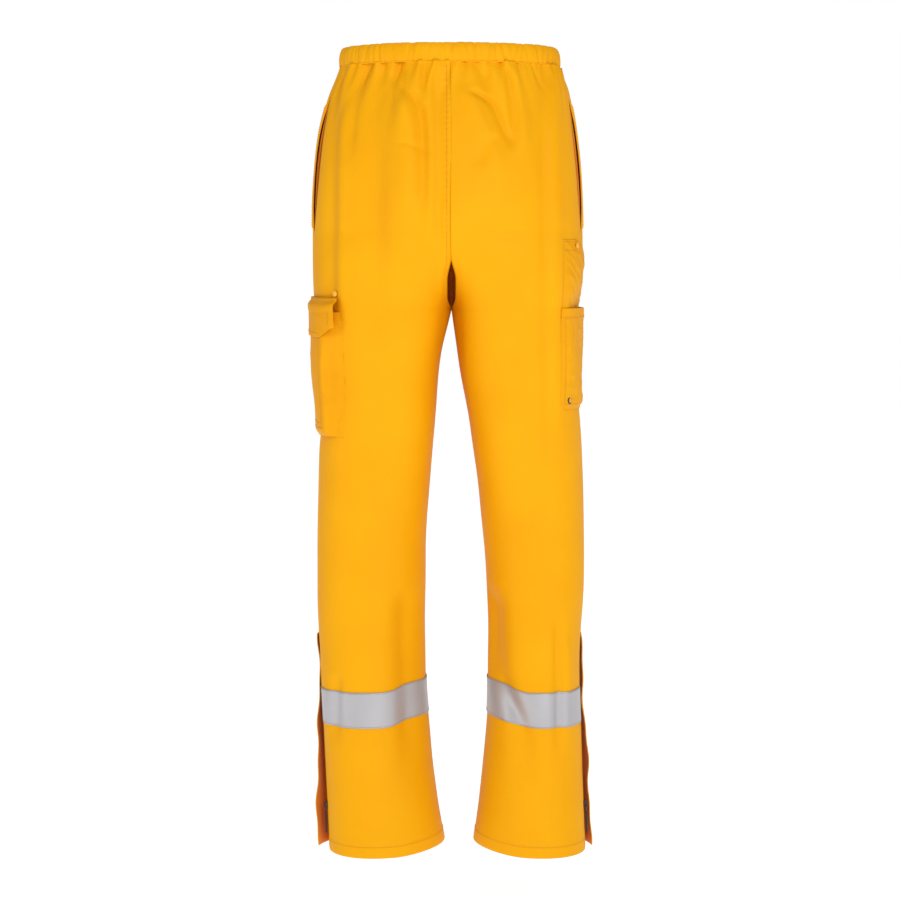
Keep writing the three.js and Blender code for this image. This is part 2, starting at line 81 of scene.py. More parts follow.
lens = bpy.data.cameras.new("studio_camera")
lens.sensor_fit = "HORIZONTAL"
lens.angle = math.radians(LENS_DEGREES)
camera = into_scene(bpy.data.objects.new("studio_camera", lens))
camera.location = CAMERA_PLACE
aim = Vector(LOOK_AT) - camera.location
camera.rotation_euler = aim.to_track_quat("-Z", "Y").to_euler()
bpy.context.scene.camera = camera
print("camera looks along", [round(a, 3) for a in aim.normalized()])

# %% [markdown]
# ## Light and floor
#
# Clothes show best in very soft light, where their colour stays even and only the folds draw
# shade. A white world does most of that. It is seen as pure white, but lights the cloth a
# little less, which leaves room for lamps. One broad lamp high on the right and one weaker lamp
# from the left give the folds a lit side and a darker side. The floor is plain and pale, and glows
# slightly so that it meets the white world without a line.

# %% World and lamps
ROOM_FELT = 0.5  # how strongly the white world lights the cloth, where it is seen at 1
BODY_MIDDLE = (0, 0, -0.5)
world = bpy.data.worlds.new("white_room")
bpy.context.scene.world = world
world.use_nodes = True
room = world.node_tree
seen = room.nodes["Background"]
seen.inputs["Color"].default_value = (1, 1, 1, 1)
felt = room.nodes.new("ShaderNodeBackground")
felt.inputs["Strength"].default_value = ROOM_FELT
felt.inputs["Color"].default_value = (1, 1, 1, 1)
ray = room.nodes.new("ShaderNodeLightPath")
choice = room.nodes.new("ShaderNodeMixShader")
room.links.new(ray.outputs["Is Camera Ray"], choice.inputs["Fac"])
room.links.new(felt.outputs["Background"], choice.inputs[1])
room.links.new(seen.outputs["Background"], choice.inputs[2])
room.links.new(choice.outputs["Shader"], room.nodes["World Output"].inputs["Surface"])
bpy.context.scene.view_settings.view_transform = "Standard"


def soft_lamp(name, place, size, watts):
    light = bpy.data.lights.new(name, "AREA")
    light.shape = "RECTANGLE"
    light.size, light.size_y = size
    light.energy = watts
    lamp = into_scene(bpy.data.objects.new(name, light))
    lamp.location = place
    lamp.rotation_euler = (Vector(BODY_MIDDLE) - Vector(place)).to_track_quat("-Z", "Y").to_euler()


soft_lamp("key_lamp", (1.1, -3.4, 0.7), (1.2, 1.6), 57)
soft_lamp("side_lamp", (-2.6, -1.6, -0.1), (0.8, 1.6), 12)

# %% [markdown]
# ## Colour and node helpers
#
# Colours are written as the sRGB hex values that a maker would read off a swatch, and one function
# turns them to the linear values that the shader works in. A second small function adds one node
# with its settings, its plain values and its links.


# %% Colour and node helpers
def dye(hex_colour):
    channels = [int(hex_colour[i:i + 2], 16) / 255 for i in (1, 3, 5)]
    linear = [c / 12.92 if c <= 0.04045 else ((c + 0.055) / 1.055) ** 2.4 for c in channels]
    return (*linear, 1)


def add_node(tree, kind, inputs=None, **settings):
    node = tree.nodes.new(kind)
    for name, value in settings.items():
        setattr(node, name, value)
    for socket, value in (inputs or {}).items():
        if isinstance(value, bpy.types.NodeSocket):
            tree.links.new(value, node.inputs[socket])
        else:
            node.inputs[socket].default_value = value
    return node


def new_material(name, **shader_values):
    material = bpy.data.materials.new(name)
    material.use_nodes = True
    shader = material.node_tree.nodes["Principled BSDF"]
    for socket, value in shader_values.items():
        shader.inputs[socket.replace("_", " ")].default_value = value
    return material, material.node_tree, shader


print("safety yellow in linear light:", [round(c, 3) for c in dye("#FBB414")[:3]])

# %% [markdown]
# ## The shell cloth: knitted polyester with a matt polyurethane coat
#
# Rainwear cloth is a fine knit with a thin skin of polyurethane on its outer face. The eye sees an
# even, strong yellow with a soft, wide shine, a faint grain where the knit prints through the
# coat, and slow changes of tone where the cloth has been handled. The knit's stitches are about
# half a millimetre apart, too fine to show, so the grain is drawn at about 1.3 mm. A slower bump,
# 25 mm across, gives the small dents of cloth that has been folded.


# %% Coated shell cloth
def coated_knit(name, face, deep, rough, dents):
    material, tree, shader = new_material(name, Roughness=rough, IOR=1.46, Specular_IOR_Level=0.10)
    place = add_node(tree, "ShaderNodeTexCoord").outputs["Object"]
    handled = add_node(tree, "ShaderNodeTexNoise", {"Vector": place, "Scale": 9, "Detail": 3})
    tone = add_node(tree, "ShaderNodeMapRange", {
        "Value": handled.outputs["Fac"], "From Min": 0.35, "From Max": 0.7})
    cloth_colour = add_node(tree, "ShaderNodeMix", {
        "Factor": tone.outputs["Result"], "A": dye(face), "B": dye(deep)}, data_type="RGBA")
    knit = add_node(tree, "ShaderNodeTexNoise", {"Vector": place, "Scale": 760, "Detail": 2})
    dent = add_node(tree, "ShaderNodeTexNoise", {
        "Vector": place, "Scale": 40, "Detail": 2, "Distortion": 0.6})
    dented = add_node(tree, "ShaderNodeBump", {
        "Height": dent.outputs["Fac"], "Strength": dents, "Distance": 0.004})
    grain = add_node(tree, "ShaderNodeBump", {
        "Height": knit.outputs["Fac"], "Strength": 0.25, "Distance": 0.0003,
        "Normal": dented.outputs["Normal"]})
    tree.links.new(cloth_colour.outputs["Result"], shader.inputs["Base Color"])
    tree.links.new(grain.outputs["Normal"], shader.inputs["Normal"])
    return material


shell_cloth = coated_knit("pu_coated_knit_yellow", "#E9A405", "#E69E04", 0.58, 0.10)
pocket_cloth = coated_knit("pu_coated_knit_creased", "#E6A006", "#E29805", 0.56, 0.34)
print("shell materials:", shell_cloth.name, pocket_cloth.name)

# %% [markdown]
# ## The inner face: uncoated knit, coloured with painted shade
#
# On the inside the bare knit shows. It has the same dye and no skin, so it is quite matt and its
# grain is a touch stronger. Its deeper orange is painted shade. In the slits and under the flaps it
# only gets light that has already bounced off yellow cloth, and that orange-red shade is painted
# into its colour.


# %% Uncoated inner face, painted-shade orange
def bare_knit(name, face, deep):
    material, tree, shader = new_material(name, Roughness=0.85, Sheen_Weight=0.15,
                                          Specular_IOR_Level=0.2)
    place = add_node(tree, "ShaderNodeTexCoord").outputs["Object"]
    knit = add_node(tree, "ShaderNodeTexNoise", {"Vector": place, "Scale": 620, "Detail": 3})
    colour = add_node(tree, "ShaderNodeMix", {
        "Factor": knit.outputs["Fac"], "A": dye(face), "B": dye(deep)}, data_type="RGBA")
    bump = add_node(tree, "ShaderNodeBump", {
        "Height": knit.outputs["Fac"], "Strength": 0.4, "Distance": 0.0004})
    tree.links.new(colour.outputs["Result"], shader.inputs["Base Color"])
    tree.links.new(bump.outputs["Normal"], shader.inputs["Normal"])
    return material


# Both oranges are painted shade: the light bounced off yellow cloth into slits, pocket bags and
# under flaps.
inner_knit_painted_shade = bare_knit("bare_knit_painted_shade_orange", "#EA8A1E", "#E07C1A")
print("inner face material:", inner_knit_painted_shade.name)

# %% [markdown]
# ## Reflective tape: glass beads on silver cloth
#
# The tape is a woven backing under a layer of glass beads far too fine to see. In daylight it is
# a flat mid grey with a faint metallic lift where it turns, and a very fine sparkle. The sparkle
# is drawn at 1 mm. Slow diagonal creases come from the way the tape was rolled.

# %% Glass-bead tape
bead_tape, tree, shader = new_material(
    "glass_bead_tape", Roughness=0.42, Metallic=0.35, Specular_IOR_Level=0.4)
place = add_node(tree, "ShaderNodeTexCoord").outputs["Object"]
beads = add_node(tree, "ShaderNodeTexNoise", {"Vector": place, "Scale": 1000, "Detail": 1})
worn = add_node(tree, "ShaderNodeTexNoise", {"Vector": place, "Scale": 16, "Detail": 4})
both = add_node(tree, "ShaderNodeMix", {
    "Factor": 0.6, "A": beads.outputs["Fac"], "B": worn.outputs["Fac"]})
silver = add_node(tree, "ShaderNodeMix", {
    "Factor": both.outputs["Result"], "A": dye("#A5A3A6"), "B": dye("#B9B7BA")}, data_type="RGBA")
turned = add_node(tree, "ShaderNodeMapping", {
    "Vector": place, "Rotation": (0, math.radians(38), 0)})
rolled = add_node(tree, "ShaderNodeTexWave", {
    "Vector": turned.outputs["Vector"], "Scale": 4.5, "Distortion": 7, "Detail": 2})
crease = add_node(tree, "ShaderNodeBump", {
    "Height": rolled.outputs["Fac"], "Strength": 0.12, "Distance": 0.003})
tree.links.new(silver.outputs["Result"], shader.inputs["Base Color"])
tree.links.new(crease.outputs["Normal"], shader.inputs["Normal"])
print("tape material:", bead_tape.name)

# %% [markdown]
# ## Thread, zip, slider and painted metal
#
# - The sewing thread is spun polyester dyed to match the cloth, a little darker and duller.
# - The zip tape is a dense twill in dark brown, with ribs about 0.8 mm apart.
# - The zip's coils are moulded nylon: smooth, satin and brown-black.
# - The slider is die-cast zinc under black lacquer, and its pull is satin moulded plastic, so the
#   slider has the tighter highlight.
# - The rivets are pressed brass painted to match, and the drain eyelet is lacquered black.


# %% Thread, zip and metal finishes
def finish(name, light, dark, scale, bump_depth, stretch=(1, 1, 1), **shader_values):
    material, tree, shader = new_material(name, **shader_values)
    place = add_node(tree, "ShaderNodeTexCoord").outputs["Object"]
    drawn = add_node(tree, "ShaderNodeMapping", {"Vector": place, "Scale": stretch})
    marks = add_node(tree, "ShaderNodeTexNoise", {
        "Vector": drawn.outputs["Vector"], "Scale": scale, "Detail": 3})
    colour = add_node(tree, "ShaderNodeMix", {
        "Factor": marks.outputs["Fac"], "A": dye(light), "B": dye(dark)}, data_type="RGBA")
    bump = add_node(tree, "ShaderNodeBump", {
        "Height": marks.outputs["Fac"], "Strength": 0.5, "Distance": bump_depth})
    tree.links.new(colour.outputs["Result"], shader.inputs["Base Color"])
    tree.links.new(bump.outputs["Normal"], shader.inputs["Normal"])
    return material


spun_thread = finish("spun_polyester_thread", "#D98F12", "#B8720E", 900, 0.0002, Roughness=0.7)
grey_thread = finish("grey_polyester_thread", "#9A999C", "#807F82", 900, 0.0002, Roughness=0.7)
zip_twill = finish("dark_twill_zip_tape", "#4A332A", "#2E201B", 1200, 0.0002, (1, 1, 0.4),
                   Roughness=0.8, Sheen_Weight=0.2)
coil_nylon = finish("nylon_zip_coil", "#5A3A2A", "#3A2620", 500, 0.0001, Roughness=0.35)
black_lacquer = finish("black_lacquered_zinc", "#17171A", "#222226", 300, 0.0001,
                       Roughness=0.25, Coat_Weight=0.4)
satin_plastic = finish("satin_moulded_plastic", "#1B1B20", "#24242A", 400, 0.0001, Roughness=0.42)
painted_brass = finish("painted_brass_rivet", "#F5B024", "#EDA41C", 500, 0.0001,
                       Roughness=0.38, Coat_Weight=0.2)
print("small finishes:", len([spun_thread, grey_thread, zip_twill, coil_nylon, black_lacquer,
                              satin_plastic, painted_brass]))

# %% [markdown]
# ## The shape of the body
#
# A pattern cutter describes trousers by a few widths at a few heights. The profiles below do the
# same: each is a list of (height above the hem, size) in millimetres, joined by a smooth curve.
# They hold half the width, the gap between the legs, the depth from front to back, how far the
# middle of the leg leans, and how square the leg is in section.

# %% Profiles
MM = 0.001
OUTSEAM, INSEAM, BAND = 1126, 763, 28


def smoothstep(x, low, high):
    t = np.clip((x - low) / (high - low), 0, 1)
    return t * t * (3 - 2 * t)


def profile(points):
    at, value = np.array(points, float).T
    last = len(at) - 1
    slope = np.array([(value[min(i + 1, last)] - value[max(i - 1, 0)])
                      / (at[min(i + 1, last)] - at[max(i - 1, 0)]) for i in range(last + 1)])

    def curve(x):
        x = np.clip(x, at[0], at[-1])
        i = np.clip(np.searchsorted(at, x, "right") - 1, 0, last - 1)
        span = at[i + 1] - at[i]
        t = (x - at[i]) / span
        return ((2 * t**3 - 3 * t**2 + 1) * value[i] + (t**3 - 2 * t**2 + t) * span * slope[i]
                + (3 * t**2 - 2 * t**3) * value[i + 1] + (t**3 - t**2) * span * slope[i + 1])

    return curve


HALF_WIDTH = {
    "left": profile([(0, 174), (134, 180), (268, 186), (360, 190), (560, 187), (650, 178),
                     (740, 186), (790, 193), (905, 193), (990, 187), (1055, 173), (1096, 158),
                     (1126, 154)]),
    "right": profile([(0, 191), (134, 186), (268, 182), (380, 188), (560, 185), (690, 174),
                      (765, 175), (805, 182), (905, 182), (990, 176), (1055, 166), (1096, 153),
                      (1126, 149)]),
}
INNER_GAP = {
    "left": profile([(0, 10), (60, 20), (180, 33), (290, 37), (400, 37), (490, 33), (600, 24),
                     (700, 14), (763, 0)]),
    "right": profile([(0, 32), (60, 40), (180, 50), (290, 52), (400, 48), (490, 41), (600, 26),
                      (700, 9), (763, 0)]),
}
HALF_DEPTH = profile([(0, 87), (60, 83), (200, 79), (350, 80), (490, 90), (600, 104), (763, 128),
                      (900, 146), (1000, 140), (1096, 120), (1126, 116)])
MIDDLE_Y = profile([(0, -3), (300, 0), (500, 8), (763, 2), (900, -5), (1096, 0), (1126, 0)])
TURN = profile([(0, 0.2), (300, 0.12), (560, 0)])
SQUARENESS = profile([(0, 2.1), (350, 2.2), (600, 2.6), (900, 2.5), (1096, 2.2), (1126, 2.2)])
SIGN = {"left": -1, "right": 1}
print("hip half widths:", HALF_WIDTH["left"](905), HALF_WIDTH["right"](905), "mm")

# %% [markdown]
# ## The wall of each half
#
# At every height each half is a squared ellipse: one whole leg below the crotch, and above it an
# ellipse that slides in to the middle and is cut off at the seat seam. A place on it is given by
# an angle round the half, counted from straight outwards and positive to the back, a height, and
# a distance off the wall. Everything that is sewn to the trousers is placed with this one
# function, so that the pieces agree with each other.


# %% Wall
def section(side, h):
    width = HALF_WIDTH[side](h)
    share = (1 - np.clip((h - INSEAM) / 110, 0, 1) ** 1.6) ** 1.35
    leg_centre = (width + INNER_GAP[side](h)) / 2
    centre = np.where(h < INSEAM, leg_centre, width * share / (1 + share))
    return centre, width - centre, HALF_DEPTH(h), SQUARENESS(h)


def wall_mm(side, angle, h, out=0.0):
    angle, h = np.broadcast_arrays(np.asarray(angle, float), np.asarray(h, float))
    centre, a, b, n = section(side, h)
    t = np.radians(angle)
    reach = (np.abs(np.cos(t) / a) ** n + np.abs(np.sin(t) / b) ** n) ** (-1 / n)
    across, back = reach * np.cos(t), reach * np.sin(t)
    normal = np.stack([np.sign(across) * np.abs(across / a) ** (n - 1) / a,
                       np.sign(back) * np.abs(back / b) ** (n - 1) / b], -1)
    normal /= np.linalg.norm(normal, axis=-1, keepdims=True)
    x = SIGN[side] * (centre + across + normal[..., 0] * out)
    y = MIDDLE_Y(h) - back - TURN(h) * across - normal[..., 1] * out
    return np.stack([x, y, h - OUTSEAM], -1)


def degrees(side, angle, h, length):
    step = wall_mm(side, angle - 0.5, h) - wall_mm(side, angle + 0.5, h)
    return length / np.linalg.norm(step, axis=-1)


def middle_angle(side, h):
    centre, a, b, n = section(side, h)
    share = np.minimum(centre / a, 1)
    open_angle = np.degrees(np.arctan2(b * (1 - share**n) ** (1 / n), -centre))
    return np.where(centre >= a, 180.0, np.minimum(open_angle, 180.0))


def back_angle(side, x, h):
    """The angle at which the back of a half is x millimetres from the middle of the body."""
    centre, a, b, n = section(side, h)
    back = b * (1 - np.minimum(np.abs((x - centre) / a), 1) ** n) ** (1 / n)
    return np.degrees(np.arctan2(back, x - centre))


ZIP_TOP, ZIP_ANGLE = 306, 8
SLIT_LOW, SLIT_HIGH = 882, 1042


def seam_angle(h):
    return ZIP_ANGLE + 3 * smoothstep(h, ZIP_TOP, 860)


def seam_opening(h):
    slit = np.clip((h - SLIT_LOW) / (SLIT_HIGH - SLIT_LOW), 0, 1)
    return 0.02 + 6 * np.sin(np.pi * slit) + 4.6 * smoothstep(ZIP_TOP - h, 0, 30)


print("wall at the left hip:", wall_mm("left", 0, 905).round(1))

# %% [markdown]
# ## Gathers and folds
#
# Cloth this thin shows how it is held. The elastic bunches it at the waist into many short, uneven
# gathers that lean a little and fade within a hand's breadth. Below them a few longer folds run
# down over the seat, and creases from folding mark the sides of the legs. Each fold is drawn as a
# line down the cloth with a width and a depth, negative for a valley. Adding them along the wall's
# normal is a steady way to get exactly the folds that are wanted, where a simulation would put
# them in other places each time.

# %% Fold lines
BACK_FOLDS = [  # ([(height, x), ...], width, depth, how quickly each end fades), in millimetres
    ([(772, -149), (900, -150), (1000, -149), (1083, -145)], 9, 2.6, 70),
    ([(772, -163), (900, -164), (1000, -162), (1083, -155)], 11, -4.6, 70),
    ([(790, -104), (960, -103), (1100, -101)], 20, -6.0, 80),
    ([(820, -72), (960, -76), (1060, -70)], 24, 3.4, 90),
    ([(915, -38), (999, -39), (1037, -45), (1064, -61)], 8, -5.6, 30),
    ([(925, -60), (999, -57), (1040, -64), (1070, -80)], 12, 3.4, 34),
    ([(978, -36), (985, -50), (990, -64)], 9, -1.6, 12),
    ([(880, -16), (960, -17), (1082, -20)], 9, -3.4, 60),
    ([(860, -30), (960, -29), (1060, -28)], 9, 2.2, 60),
    ([(790, -9), (850, -8), (905, -10)], 5, 2.2, 30),
    ([(800, 10), (880, 9), (960, 10)], 7, 1.2, 50),
    ([(992, 79), (1015, 68), (1042, 55), (1058, 31)], 7, -5.0, 16),
    ([(966, 60), (1000, 48), (1032, 34), (1060, 20)], 12, 3.2, 34),
    ([(966, 40), (978, 44), (998, 52)], 12, -2.8, 16),
    ([(1000, 86), (1056, 82), (1102, 64)], 7, -4.4, 26),
    ([(980, 100), (1040, 97), (1090, 84)], 11, 3.0, 30),
    ([(600, 132), (770, 128), (960, 127), (1090, 127)], 8, -3.0, 90),
    ([(600, 147), (770, 143), (960, 142), (1085, 139)], 9, 2.2, 90),
    ([(990, -137), (1050, -131), (1100, -117)], 7, -3.4, 30),
    ([(1056, -68), (1090, -66)], 5, -3.0, 16),
    ([(1060, -37), (1100, -38)], 5, -3.4, 16),
    ([(1030, 160), (1090, 152)], 6, -2.2, 20),
    ([(150, -58), (230, -60), (300, -62), (360, -63)], 17, -8.5, 60),
    ([(170, -26), (240, -24)], 14, 3.0, 60),
    ([(175, -163), (250, -161)], 8, -4.4, 26),
    ([(150, 104), (186, 96), (250, 64), (360, 54)], 17, -8.0, 56),
    ([(170, 150), (330, 150)], 8, -5.0, 50),
    ([(170, 163), (300, 162)], 7, 2.4, 40),
]
FRONT_FOLDS = [
    ([(900, -95), (1000, -88), (1100, -82)], 13, -3.6, 60),
    ([(930, -52), (1010, -46), (1090, -40)], 9, -3.2, 50),
    ([(860, -24), (980, -20), (1100, -16)], 10, 2.4, 70),
    ([(905, 34), (1000, 30), (1090, 22)], 9, -3.2, 60),
    ([(950, 70), (1030, 74), (1095, 66)], 10, 2.8, 40),
    ([(880, 104), (1000, 100), (1095, 96)], 13, -3.6, 60),
    ([(680, -84), (760, -44), (800, -18)], 12, -3.2, 40),
    ([(680, 84), (760, 44), (800, 18)], 12, -3.2, 40),
    ([(420, -120), (500, -96), (560, -60)], 16, -3.0, 50),
    ([(420, 124), (500, 104), (560, 66)], 16, -3.0, 50),
    ([(120, -70), (260, -78), (380, -84)], 16, -3.4, 70),
    ([(120, 84), (260, 92), (380, 98)], 16, -3.4, 70),
]


def folds(x, h, lines):
    lift = np.zeros_like(x)
    for line, width, depth, fade in lines:
        line = sorted(line)
        low, high = line[0][0], line[-1][0]
        along = smoothstep(h, low - fade, low + fade * 0.6) * smoothstep(-h, -high - fade * 0.4,
                                                                        -high + fade * 0.3)
        lift += depth * along * np.exp(-(((x - profile(line)(h)) / width) ** 2))
    return lift


print("fold lines:", len(BACK_FOLDS), "behind and", len(FRONT_FOLDS), "in front")

# %% [markdown]
# The gathers are laid round the waist by their distance along it, so that they run on across the
# side seams. Their places, leans, widths and lengths come from a seeded random generator, which
# makes the same waist each time. The band above the seam has its own shorter, steeper tucks.

# %% Gathers
rng = np.random.default_rng(7)
WAIST_ROUND = 860
COUNT, TUCKS = 74, 96
gather_at = (np.arange(COUNT) + rng.uniform(-0.42, 0.42, COUNT)) * WAIST_ROUND / COUNT
gather_width = rng.uniform(2.6, 5.2, COUNT)
gather_depth = rng.uniform(1.0, 3.4, COUNT) * rng.choice([-1, -1, 1], COUNT)
gather_fade = rng.uniform(16, 62, COUNT) * rng.choice([1, 1, 1.9], COUNT)
gather_lean = rng.uniform(-0.34, 0.34, COUNT)


def round_waist(x, y):
    return (np.arctan2(x / 154, -y / 118) / (2 * np.pi) * WAIST_ROUND) % WAIST_ROUND


def from_line(along, at):
    """The shorter way round the waist from one place to another."""
    return (along - at + WAIST_ROUND / 2) % WAIST_ROUND - WAIST_ROUND / 2


def gathers(x, y, h):
    below = OUTSEAM - BAND - h
    along = round_waist(x, y)
    lift = np.zeros_like(x)
    for at, width, depth, fade, lean in zip(
            gather_at, gather_width, gather_depth, gather_fade, gather_lean):
        away = from_line(along, at + lean * below)
        spread = width * (1 + np.maximum(below, 0) / 60)
        lift += depth * np.exp(-((away / spread) ** 2)) * np.exp(-((np.abs(below) / fade) ** 1.6))
    return lift


tuck_at = (np.arange(TUCKS) + rng.uniform(-0.45, 0.45, TUCKS)) * WAIST_ROUND / TUCKS
tuck_width = rng.uniform(1.0, 2.4, TUCKS)
tuck_depth = rng.uniform(0.8, 3.6, TUCKS)
tuck_lean = rng.uniform(-0.30, 0.30, TUCKS)


def band_tucks(along, up):
    lift = np.zeros_like(along)
    for at, width, depth, lean in zip(tuck_at, tuck_width, tuck_depth, tuck_lean):
        away = from_line(along, at + lean * up)
        lift -= depth * np.exp(-((np.abs(away) / width) ** 1.3))
    return lift + 0.8 * np.sin(along / 11) * np.sin(along / 29 + 1)


print("gathers round the waist:", COUNT, "about", round(WAIST_ROUND / COUNT, 1), "mm apart")

# %% [markdown]
# All of these add up to the relief of the cloth. Along the seat seam the two halves dip slightly
# to meet each other, and a sewn seam puckers a little beside its stitches. Each hand slit's rear
# lip falls in and its front lip stands out, which lets the inside of the pocket show. The
# turned-up hem is a little proud, and the whole cloth wanders by a millimetre or so from the plain
# wall.


# %% Relief
BAND_SEAM = OUTSEAM - BAND
GATHERS_END, GATHERS_FULL = 880, 950
PUCKER_PITCH, HEM_LINE = 8.5, 15.5
FRONT_LIP, REAR_LIP = 1.5, -7.5  # how far the lips of a hand slit stand off the leg


def relief(side, angle, h):
    x, y, _ = np.moveaxis(wall_mm(side, angle, h), -1, 0)
    angle = (angle + 180) % 360 - 180
    inside_leg = smoothstep(-np.abs(angle), -178, -150) + smoothstep(h, INSEAM, INSEAM + 12)
    inside_leg = np.minimum(inside_leg, 1)
    behind = smoothstep(angle, 4, 34) * inside_leg
    ahead = smoothstep(-angle, 10, 44) * inside_leg
    lift = 1.15 * behind * folds(x, h, BACK_FOLDS) + 1.2 * ahead * folds(x, h, FRONT_FOLDS)
    waist = h > GATHERS_END
    lift[waist] += 1.7 * gathers(x[waist], y[waist], h[waist]) * smoothstep(
        h[waist], GATHERS_END, GATHERS_FULL)
    above_crotch = smoothstep(h, INSEAM - 12, INSEAM + 30)
    lift -= 0.4 * above_crotch * np.exp(-((x / 1.6) ** 2))
    pucker = np.sin(h * 2 * np.pi / PUCKER_PITCH + 2 * np.sin(h / 23))
    pucker = pucker * np.exp(-(((x + 7) / 4.5) ** 2))
    lift += 0.5 * behind * above_crotch * pucker
    lift += 0.5 * (1 - smoothstep(h, HEM_LINE - 1, HEM_LINE + 1))
    wander = (np.sin(x / 31 + h / 77 + SIGN[side]) * np.sin(h / 59 - x / 48)
              + 0.6 * np.sin(x / 17 - h / 41) * np.sin(h / 33 + 2))
    lift += 0.9 * wander * smoothstep(h, 20, 120)
    lift -= 0.7 * np.exp(-(((BAND_SEAM - h) / 4) ** 2))
    edge = np.abs(angle - seam_angle(h)) / degrees(side, angle, h, 1.0)
    settle = smoothstep(edge, 0, 26)
    slit = np.sin(np.pi * np.clip((h - SLIT_LOW + 20) / (SLIT_HIGH - SLIT_LOW + 40), 0, 1))
    lips = np.where(angle > seam_angle(h), REAR_LIP, FRONT_LIP) * slit * np.exp(-edge / 13)
    return lift * (0.25 + 0.75 * settle) + lips - 0.7 * (1 - smoothstep(edge, 0, 2.4))


SHIN_RISE = profile([(0, 4), (180, 9), (240, 9), (420, 0)])  # how far the inside leg rides up
LAP_OVER, LAP_RISE, PARTING = 1.6, 1.0, 5.5


def skin(side, angle, h, lift=0.0):
    """Places on the outer face of the cloth, in metres, raised off it by lift millimetres.

    Beside the seat seam the cloth may only move backwards and forwards, or the halves would part.
    The right half laps over the left one there, as the seam allowances are felled to one side.
    Low on the seat, just above the crotch, the backs of the two legs do part by about a centimetre.
    """
    angle, h = np.broadcast_arrays(np.asarray(angle, float), np.asarray(h, float))
    bare = wall_mm(side, angle, h)
    placed = wall_mm(side, angle, h, relief(side, angle, h) + lift)
    centre, a, _, _ = section(side, h)
    inner = smoothstep((centre - np.abs(bare[..., 0])) / a, 0.1, 1)
    placed[..., 2] += SHIN_RISE(h) * inner
    held = 1 - (1 - smoothstep(np.abs(bare[..., 0]), 0, 16)) * smoothstep(h, 690, 760)
    placed[..., 0] = bare[..., 0] + (placed[..., 0] - bare[..., 0]) * held
    lap = np.exp(-((bare[..., 0] / 3.5) ** 2)) * smoothstep(h, 812, 850)
    if side == "right":
        placed[..., 0] -= LAP_OVER * lap
        placed[..., 1] += np.sign(bare[..., 1]) * LAP_RISE * lap
    parting = PARTING * smoothstep(-h, -838, -806) * smoothstep(h, 640, 740)
    parting = parting * smoothstep(-bare[..., 1], 15, 70)
    placed[..., 0] += SIGN[side] * parting * np.exp(-((bare[..., 0] / 20) ** 2))
    return placed * MM


print("relief at the seat:", relief("left", np.array([60.0, 70.0]), np.array([950.0, 950.0])))

# %% [markdown]
# ## A sheet of cloth
#
# Every panel, pocket, flap and tape is cut from a flat piece, so each starts as a flat grid and is
# then carried to its place by a function of how far across (u) and how far up (v) a point is. The
# grid keeps its UV map, which follows the cloth. Solidify gives it the thickness of the cloth on
# its inner side. By default the inner side takes a deeper orange that is painted shade. A point
# inside the leg, the core, tells which side of the sheet is its outer side.


# %% Cloth helper
def deselect():
    for obj in bpy.context.selected_objects:
        obj.select_set(False)


def vertices(obj):
    flat = np.empty(len(obj.data.vertices) * 3)
    obj.data.vertices.foreach_get("co", flat)
    return flat.reshape(-1, 3)


def apply_modifier(obj, name, kind, **settings):
    modifier = obj.modifiers.new(name, kind)
    for setting, value in settings.items():
        setattr(modifier, setting, value)
    bpy.context.view_layer.objects.active = obj
    bpy.ops.object.modifier_apply(modifier=modifier.name)


def cloth(name, columns, rows, place, core, thick=0.8, inner=None, outer=None):
    deselect()
    bpy.ops.mesh.primitive_grid_add(x_subdivisions=columns, y_subdivisions=rows, size=1)
    piece = bpy.context.object
    piece.name = piece.data.name = name
    flat = vertices(piece)
    piece.data.vertices.foreach_set("co", place(flat[:, 0] + 0.5, flat[:, 1] + 0.5).ravel())
    piece.data.update()
    away = ((face.center - Vector(core)).dot(face.normal) for face in piece.data.polygons)
    if sum(away) < 0:
        piece.data.flip_normals()
    piece.data.materials.append(outer or shell_cloth)
    piece.data.materials.append(inner or inner_knit_painted_shade)
    apply_modifier(piece, "cloth_thickness", "SOLIDIFY", thickness=thick * MM, offset=-1,
                   material_offset=1, material_offset_rim=0)
    piece.data.shade_smooth()
    return piece


def leg_core(side, h=560):
    return (SIGN[side] * 0.09, 0, (h - OUTSEAM) * MM)


def report(piece):
    print(piece.name, len(piece.data.polygons), "faces")
    return piece


def belongs(piece, body, slot, *nodes):
    """Say which body a piece moves with and hide the plain nodes it stands for; slot is not used.
    """
    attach(piece, body)
    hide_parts(*nodes)


# %% [markdown]
# ## The four leg panels
#
# Each half is two panels, back and front, joined at the side seam and the inside leg. They are cut
# in one length from the waist to the hem.


def leg_panel(side, part, columns, rows):
    def place(u, v):
        h = v * (BAND_SEAM + 3)
        seam = seam_angle(h)
        gap = degrees(side, seam, h, seam_opening(h))
        if part == "back":
            return skin(side, seam + gap + (middle_angle(side, h) - seam - gap) * u, h)
        return skin(side, seam - gap + (-middle_angle(side, h) - seam + gap) * u, h)

    return cloth(f"{side}_leg_{part}_panel", columns, rows, place, leg_core(side))


for side in ("left", "right"):
    back = report(leg_panel(side, "back", 92, 440))
    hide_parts(f"{side}_back_panel", f"{side}_lower_back_panel", f"{side}_knee_back")
    front = report(leg_panel(side, "front", 72, 330))
    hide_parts(f"{side}_front_panel", f"{side}_lower_front_panel")
    for panel in (back, front):
        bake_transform(panel)

# %% [markdown]
# ## The gathered waistband
#
# The top of the cloth is folded over a wide elastic and stitched down, which makes a ring with a
# rounded top. A torus is the right primitive for a closed ring: its way round becomes the way
# round the waist, and its way round the tube becomes the casing's outer wall, top fold, inner wall
# and lower edge. The tucks push the outer wall in and out and tug at the top edge.


# %% Waistband
BAND_MIDDLE = OUTSEAM - 13.6  # the band is 27.2 mm high
BAND_SQUARE = 0.62  # below 1 it flattens the walls of the band and tightens its edges


